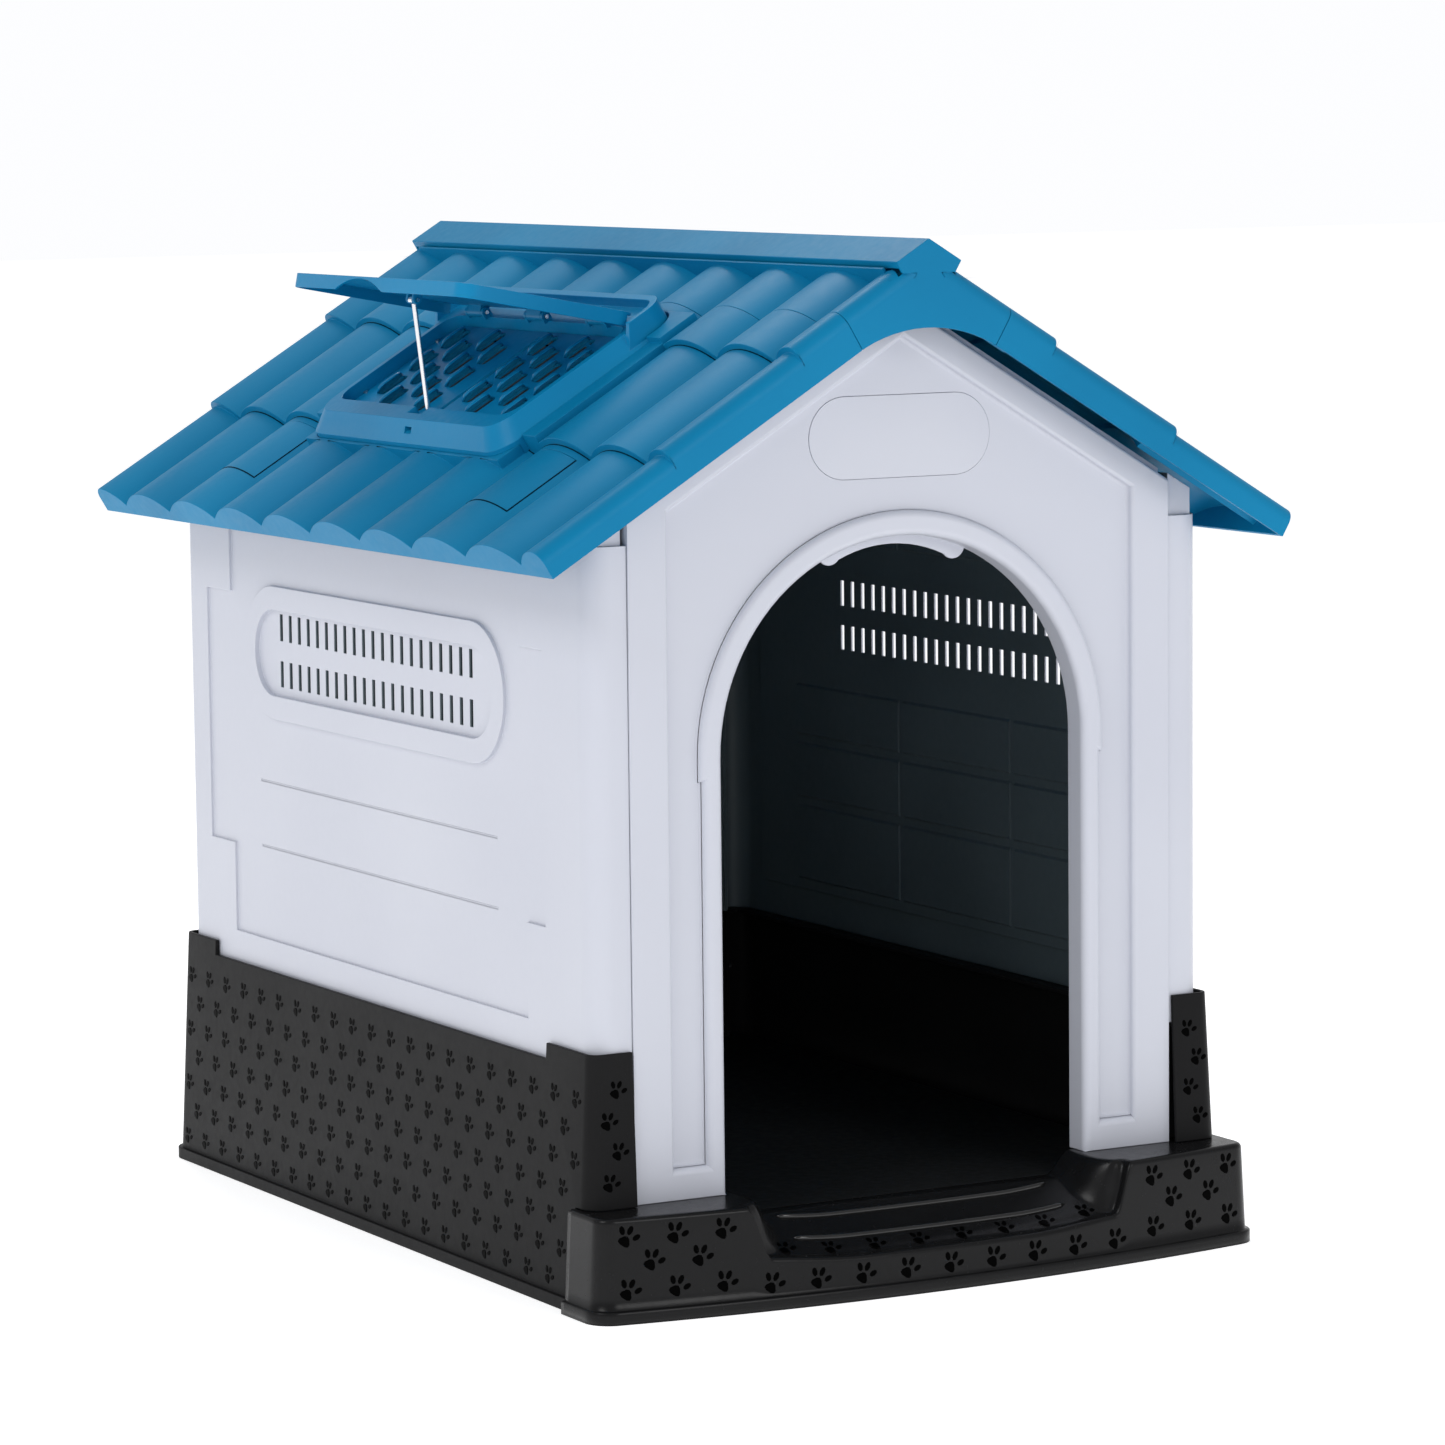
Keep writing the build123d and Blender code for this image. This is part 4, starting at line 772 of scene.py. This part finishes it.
def scatter_prints(name, origins, across, up, size):
    """Copies of the print at many origins, each with its own two directions in the surface."""
    origins, across, up = (np.broadcast_to(v, np.shape(origins)).astype(float) for v in (origins, across, up))
    outward = np.cross(across, up)
    a, b, h = PRINT_POINTS.T
    points = (origins[:, None] + size * (a[:, None] * across[:, None] + b[:, None] * up[:, None]
                                         + h[:, None] * outward[:, None]))
    count = len(PRINT_POINTS)
    faces = [[k + copy * count for k in face] for copy in range(len(origins)) for face in PRINT_FACES]
    piece = new_piece(name, points, faces, print_black, "kennel")
    piece.data.polygons.foreach_set("use_smooth", np.zeros(len(faces), bool))


print("one print:", len(PRINT_POINTS), "points,", len(PRINT_FACES), "faces")

# %% [markdown]
# On the sides and the back the prints stand in seven staggered rows, and in a short zigzag on each front
# post. The skirts lean in by the mould's draft angle, so each row lies a little further in than the one
# below.

# %% Prints on the sides and the back
base_low, base_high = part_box("base_right")
BASE_HALF = base_high.x - FLANGE
BASE_REAR = base_high.y - FLANGE
LEAN = math.atan(TAPER)
SIDE_PITCH, ROW_PITCH, PRINT_SIZE = 43.5 * MM, 28.5 * MM, 9.6 * MM


def staggered(first, last, low, rows):
    """Places of a staggered pattern between two ends, as two arrays."""
    spots = []
    for row in range(rows):
        shift = SIDE_PITCH / 2 * (row % 2)
        along = np.arange(first + shift, last, SIDE_PITCH)
        spots.append(np.stack([along, np.full(len(along), low + row * ROW_PITCH)], -1))
    return np.concatenate(spots).T


for side, name in ((-1, "left"), (1, "right")):
    along, level = staggered(-0.42, 0.452, 26 * MM, 7)
    spots = np.stack([side * (BASE_HALF - level * TAPER), along, level], -1)
    scatter_prints(f"paw_prints_{name}", spots, (0, side, 0), (-side * math.sin(LEAN), 0, math.cos(LEAN)),
                   PRINT_SIZE)
    post_level = np.array([122, 150.5, 179, 207.5]) * MM
    post_x = side * (319 + 5 * (-1.0) ** np.arange(4)) * MM
    front_y = base_low.y - (STEP_TOP - post_level) * TAPER
    scatter_prints(f"paw_prints_{name}_post", np.stack([post_x, front_y, post_level], -1), (1, 0, 0),
                   (0, math.sin(LEAN), math.cos(LEAN)), PRINT_SIZE)
along, level = staggered(-0.31, 0.32, 26 * MM, 7)
spots = np.stack([along, BASE_REAR - level * TAPER, level], -1)
scatter_prints("paw_prints_back", spots, (-1, 0, 0), (0, -math.sin(LEAN), math.cos(LEAN)), PRINT_SIZE)
print("prints on each side:", len(staggered(-0.42, 0.452, 26 * MM, 7)[0]))

# %% [markdown]
# The step's prints are larger. They follow its bow, so each has its own direction across the surface.

# %% Prints on the step
STEP_PRINT = 11.5 * MM
STEP_PITCH = 47.0 * MM


def step_prints(name, x, z):
    """Prints on the bowed, tapered front face."""
    y = bow_y(x) + z * TAPER
    slope = x / np.sqrt(BOW_RADIUS ** 2 - x ** 2)
    across = np.stack([np.ones_like(x), slope, np.zeros_like(x)], -1)
    across /= np.linalg.norm(across, axis=1, keepdims=True)
    up = np.broadcast_to(np.array([0, math.sin(LEAN), math.cos(LEAN)]), across.shape)
    scatter_prints(name, np.stack([x, y, z], -1), across, up, STEP_PRINT)


low_row = np.arange(-7, 8) * STEP_PITCH
low_z = np.where(np.abs(low_row) < 210 * MM, 25 * MM, 31 * MM)
step_prints("paw_prints_step_low", low_row, low_z)
block_row = (np.arange(-7, 7) + 0.5) * STEP_PITCH
block_row = block_row[np.abs(block_row) > 228 * MM]
step_prints("paw_prints_step_middle", block_row, np.full(len(block_row), 57 * MM))
top_row = low_row[np.abs(low_row) > 234 * MM]
step_prints("paw_prints_step_top", top_row, np.full(len(top_row), 80 * MM))
tread_x = (np.arange(-4, 4) + 0.5) * STEP_PITCH
tread_y = bow_y(tread_x) + 22 * MM
tread_up = np.array([0, math.cos(math.atan(TREAD_RISE)), math.sin(math.atan(TREAD_RISE))])
scatter_prints("paw_prints_tread", np.stack([tread_x, tread_y, step_height(tread_x, tread_y)], -1), (1, 0, 0),
               tread_up, STEP_PRINT * 0.9)
print("prints on the step:", len(low_row) + len(block_row) + len(top_row) + len(tread_x))

# %% [markdown]
# ## Closing strips under the ridge cap
#
# Between the tile crests and the cap's edge there is a row of small openings, one over each valley. A
# strip along the ridge closes them: its top is level, just under the cap, and its lower edge follows the
# tiles.


# %% Strips under the cap
TILE_PITCH, TILE_RISE, TILE_LEVEL = 112.5 * MM, 17.0 * MM, 41.0 * MM
TILE_RADIUS = (TILE_PITCH ** 2 / 4 + TILE_RISE ** 2) / (2 * TILE_RISE)


def tile_surface(y, level=TILE_LEVEL):
    """Height of a tile row with that crest level: arcs of TILE_RADIUS that meet in cusps every TILE_PITCH."""
    from_crest = (y - SLOPE_MIDDLE_Y) % TILE_PITCH - TILE_PITCH / 2
    return level - TILE_RADIUS + np.sqrt(TILE_RADIUS ** 2 - from_crest ** 2)


STRIP_NEAR, STRIP_FAR, STRIP_TOP = 14.5 * MM, 17.0 * MM, 45.0 * MM
strip_y = np.linspace(ridge_low.y + 22 * MM, ridge_high.y - 22 * MM, 400)
strip_low = tile_surface(strip_y) - 3 * MM
for side, name in ((1, "left"), (-1, "right")):
    corners = [(STRIP_NEAR, strip_low), (STRIP_NEAR, STRIP_TOP),
               (STRIP_FAR, STRIP_TOP), (STRIP_FAR, strip_low)]
    ring = np.stack([on_left_slope(u, strip_y, n) for u, n in corners], 1)
    ring[..., 0] *= side
    faces = bar_faces(len(strip_y))
    strip = new_piece(f"ridge_strip_{name}", ring, faces, roof_blue, "kennel")
    strip.data.polygons.foreach_set("use_smooth", np.zeros(len(faces), bool))
print("ridge strips:", len(strip_y), "sections each")

# %% [markdown]
# The tile rows overlap with a shadow gap under each row's end, and the plugs over the roof screws have one
# at their lower and front edges. The shade in each gap is painted: a thin dark bead that follows the tiles'
# arcs lies in it as painted shade and draws the fine dark line.


# %% Painted shade in the gaps
ROW_LEVELS, ROW_ENDS = (35.0 * MM, 28.5 * MM), (143.0 * MM, 304.0 * MM)
COVER_TOP, COVER_FOOT, COVER_HALF = 313.0 * MM, 398.0 * MM, 43.0 * MM
HALF_ROOF = 4 * TILE_PITCH
ROW_GAP, COVER_GAP = 1.6 * MM, 1.3 * MM
BEAD_FOOT, BEAD_TOP = -0.6 * MM, 0.25 * MM


def shadow_gap(start, end, level, width, count):
    """Four-cornered sections of a dark bead of painted shade on a tile row, from start to end, each a place
    (u, y).

    A section is width wide, square to the bead's run, and reaches from BEAD_FOOT to BEAD_TOP off the surface.
    """
    u, y = (np.linspace(first, last, count) for first, last in zip(start, end))
    run = np.subtract(end, start)
    side_u, side_y = np.abs(run[::-1]) / np.linalg.norm(run) * width / 2
    corners = [(-1, BEAD_FOOT), (-1, BEAD_TOP), (1, BEAD_TOP), (1, BEAD_FOOT)]
    return np.stack([on_left_slope(u + way * side_u, y + way * side_y,
                                   tile_surface(y + way * side_y, level) + rise) for way, rise in corners], 1)


beads = []
for row_end, level in zip(ROW_ENDS, ROW_LEVELS):
    gap_u = row_end + 0.7 * MM
    beads.append(shadow_gap((gap_u, SLOPE_MIDDLE_Y - HALF_ROOF), (gap_u, SLOPE_MIDDLE_Y + HALF_ROOF),
                            level, ROW_GAP, 320))
for tile in (-2.5, 2.5):
    middle = SLOPE_MIDDLE_Y + tile * TILE_PITCH
    foot_u, side_y = COVER_FOOT + 0.3 * MM, middle - COVER_HALF - 0.3 * MM
    beads.append(shadow_gap((foot_u, middle - COVER_HALF), (foot_u, middle + COVER_HALF),
                            ROW_LEVELS[1], COVER_GAP, 40))
    beads.append(shadow_gap((COVER_TOP, side_y), (COVER_FOOT + 0.9 * MM, side_y),
                            ROW_LEVELS[1], COVER_GAP, 40))
starts = np.cumsum([0] + [4 * len(bead) for bead in beads])
faces = [[int(start) + k for k in face]
         for start, bead in zip(starts, beads) for face in bar_faces(len(bead))]
for side, name in ((1, "left"), (-1, "right")):
    points = np.concatenate(beads) * (side, 1, 1)
    gaps = new_piece(f"painted_shade_lines_{name}", points, faces, painted_gap_shade, "kennel")
    gaps.data.polygons.foreach_set("use_smooth", np.zeros(len(faces), bool))
print("shadow gaps on each slope:", len(beads))

# %% [markdown]
# ## Louvre hoods in the skylight tray
#
# Each slot of the tray lies under a hood, which keeps rain out and lets air through: a quarter barrel that
# springs from the slot's rear edge and ends in the air over its middle, with rounded ends. It is a surface
# of two parameters, along the slot and round the barrel, and a Solidify modifier gives it the wall.

# %% Louvre hoods
LOUVRE_LINES = np.array([37.0, 76.0, 115.0, 154.0]) * MM
LOUVRE_STARTS = np.array([166.0, 187.0]) * MM
LOUVRE_STEPS, LOUVRE_PITCH = 3, 42.0 * MM
TRAY_TOP = 38.0 * MM
LOUVRE_LENGTH, LOUVRE_WIDTH, HOOD_RISE = 33.0 * MM, 15.0 * MM, 8.0 * MM
HOOD_COLUMNS, HOOD_ROWS = 10, 6


def louvre_hood(u, y):
    """Along a from -1 to 1 the size is sqrt(1 - |a|^5); round b the barrel turns through 118 degrees."""
    a = np.linspace(-1, 1, HOOD_COLUMNS)[:, None]
    b = np.radians(np.linspace(0, 118, HOOD_ROWS))[None, :]
    size = np.sqrt(np.clip(1 - np.abs(a) ** 5, 0.03, 1))
    return on_left_slope(u + a * LOUVRE_LENGTH / 2 + 0 * b,
                         y + LOUVRE_WIDTH / 2 - LOUVRE_WIDTH / 2 * (1 - np.cos(b)) * size,
                         TRAY_TOP - 0.3 * MM + HOOD_RISE * size * np.sin(b))


hood_points, hood_faces = [], []
for side in (-1, 1):
    for number, offset in enumerate(LOUVRE_LINES):
        for step in range(LOUVRE_STEPS):
            u = LOUVRE_STARTS[(number + (side > 0)) % 2] + step * LOUVRE_PITCH
            hood_faces += [[k + len(hood_points) * HOOD_COLUMNS * HOOD_ROWS for k in face]
                           for face in grid_faces(HOOD_COLUMNS, HOOD_ROWS)]
            hood_points.append(louvre_hood(u, SLOPE_MIDDLE_Y + side * offset).reshape(-1, 3))
hoods = new_piece("louvre_hoods", np.concatenate(hood_points), hood_faces, skylight_blue, "kennel",
                  closed=False)
wall = hoods.modifiers.new("wall", "SOLIDIFY")
wall.thickness = 1.4 * MM
wall.offset = 0.0
print("louvre hoods:", len(hood_points))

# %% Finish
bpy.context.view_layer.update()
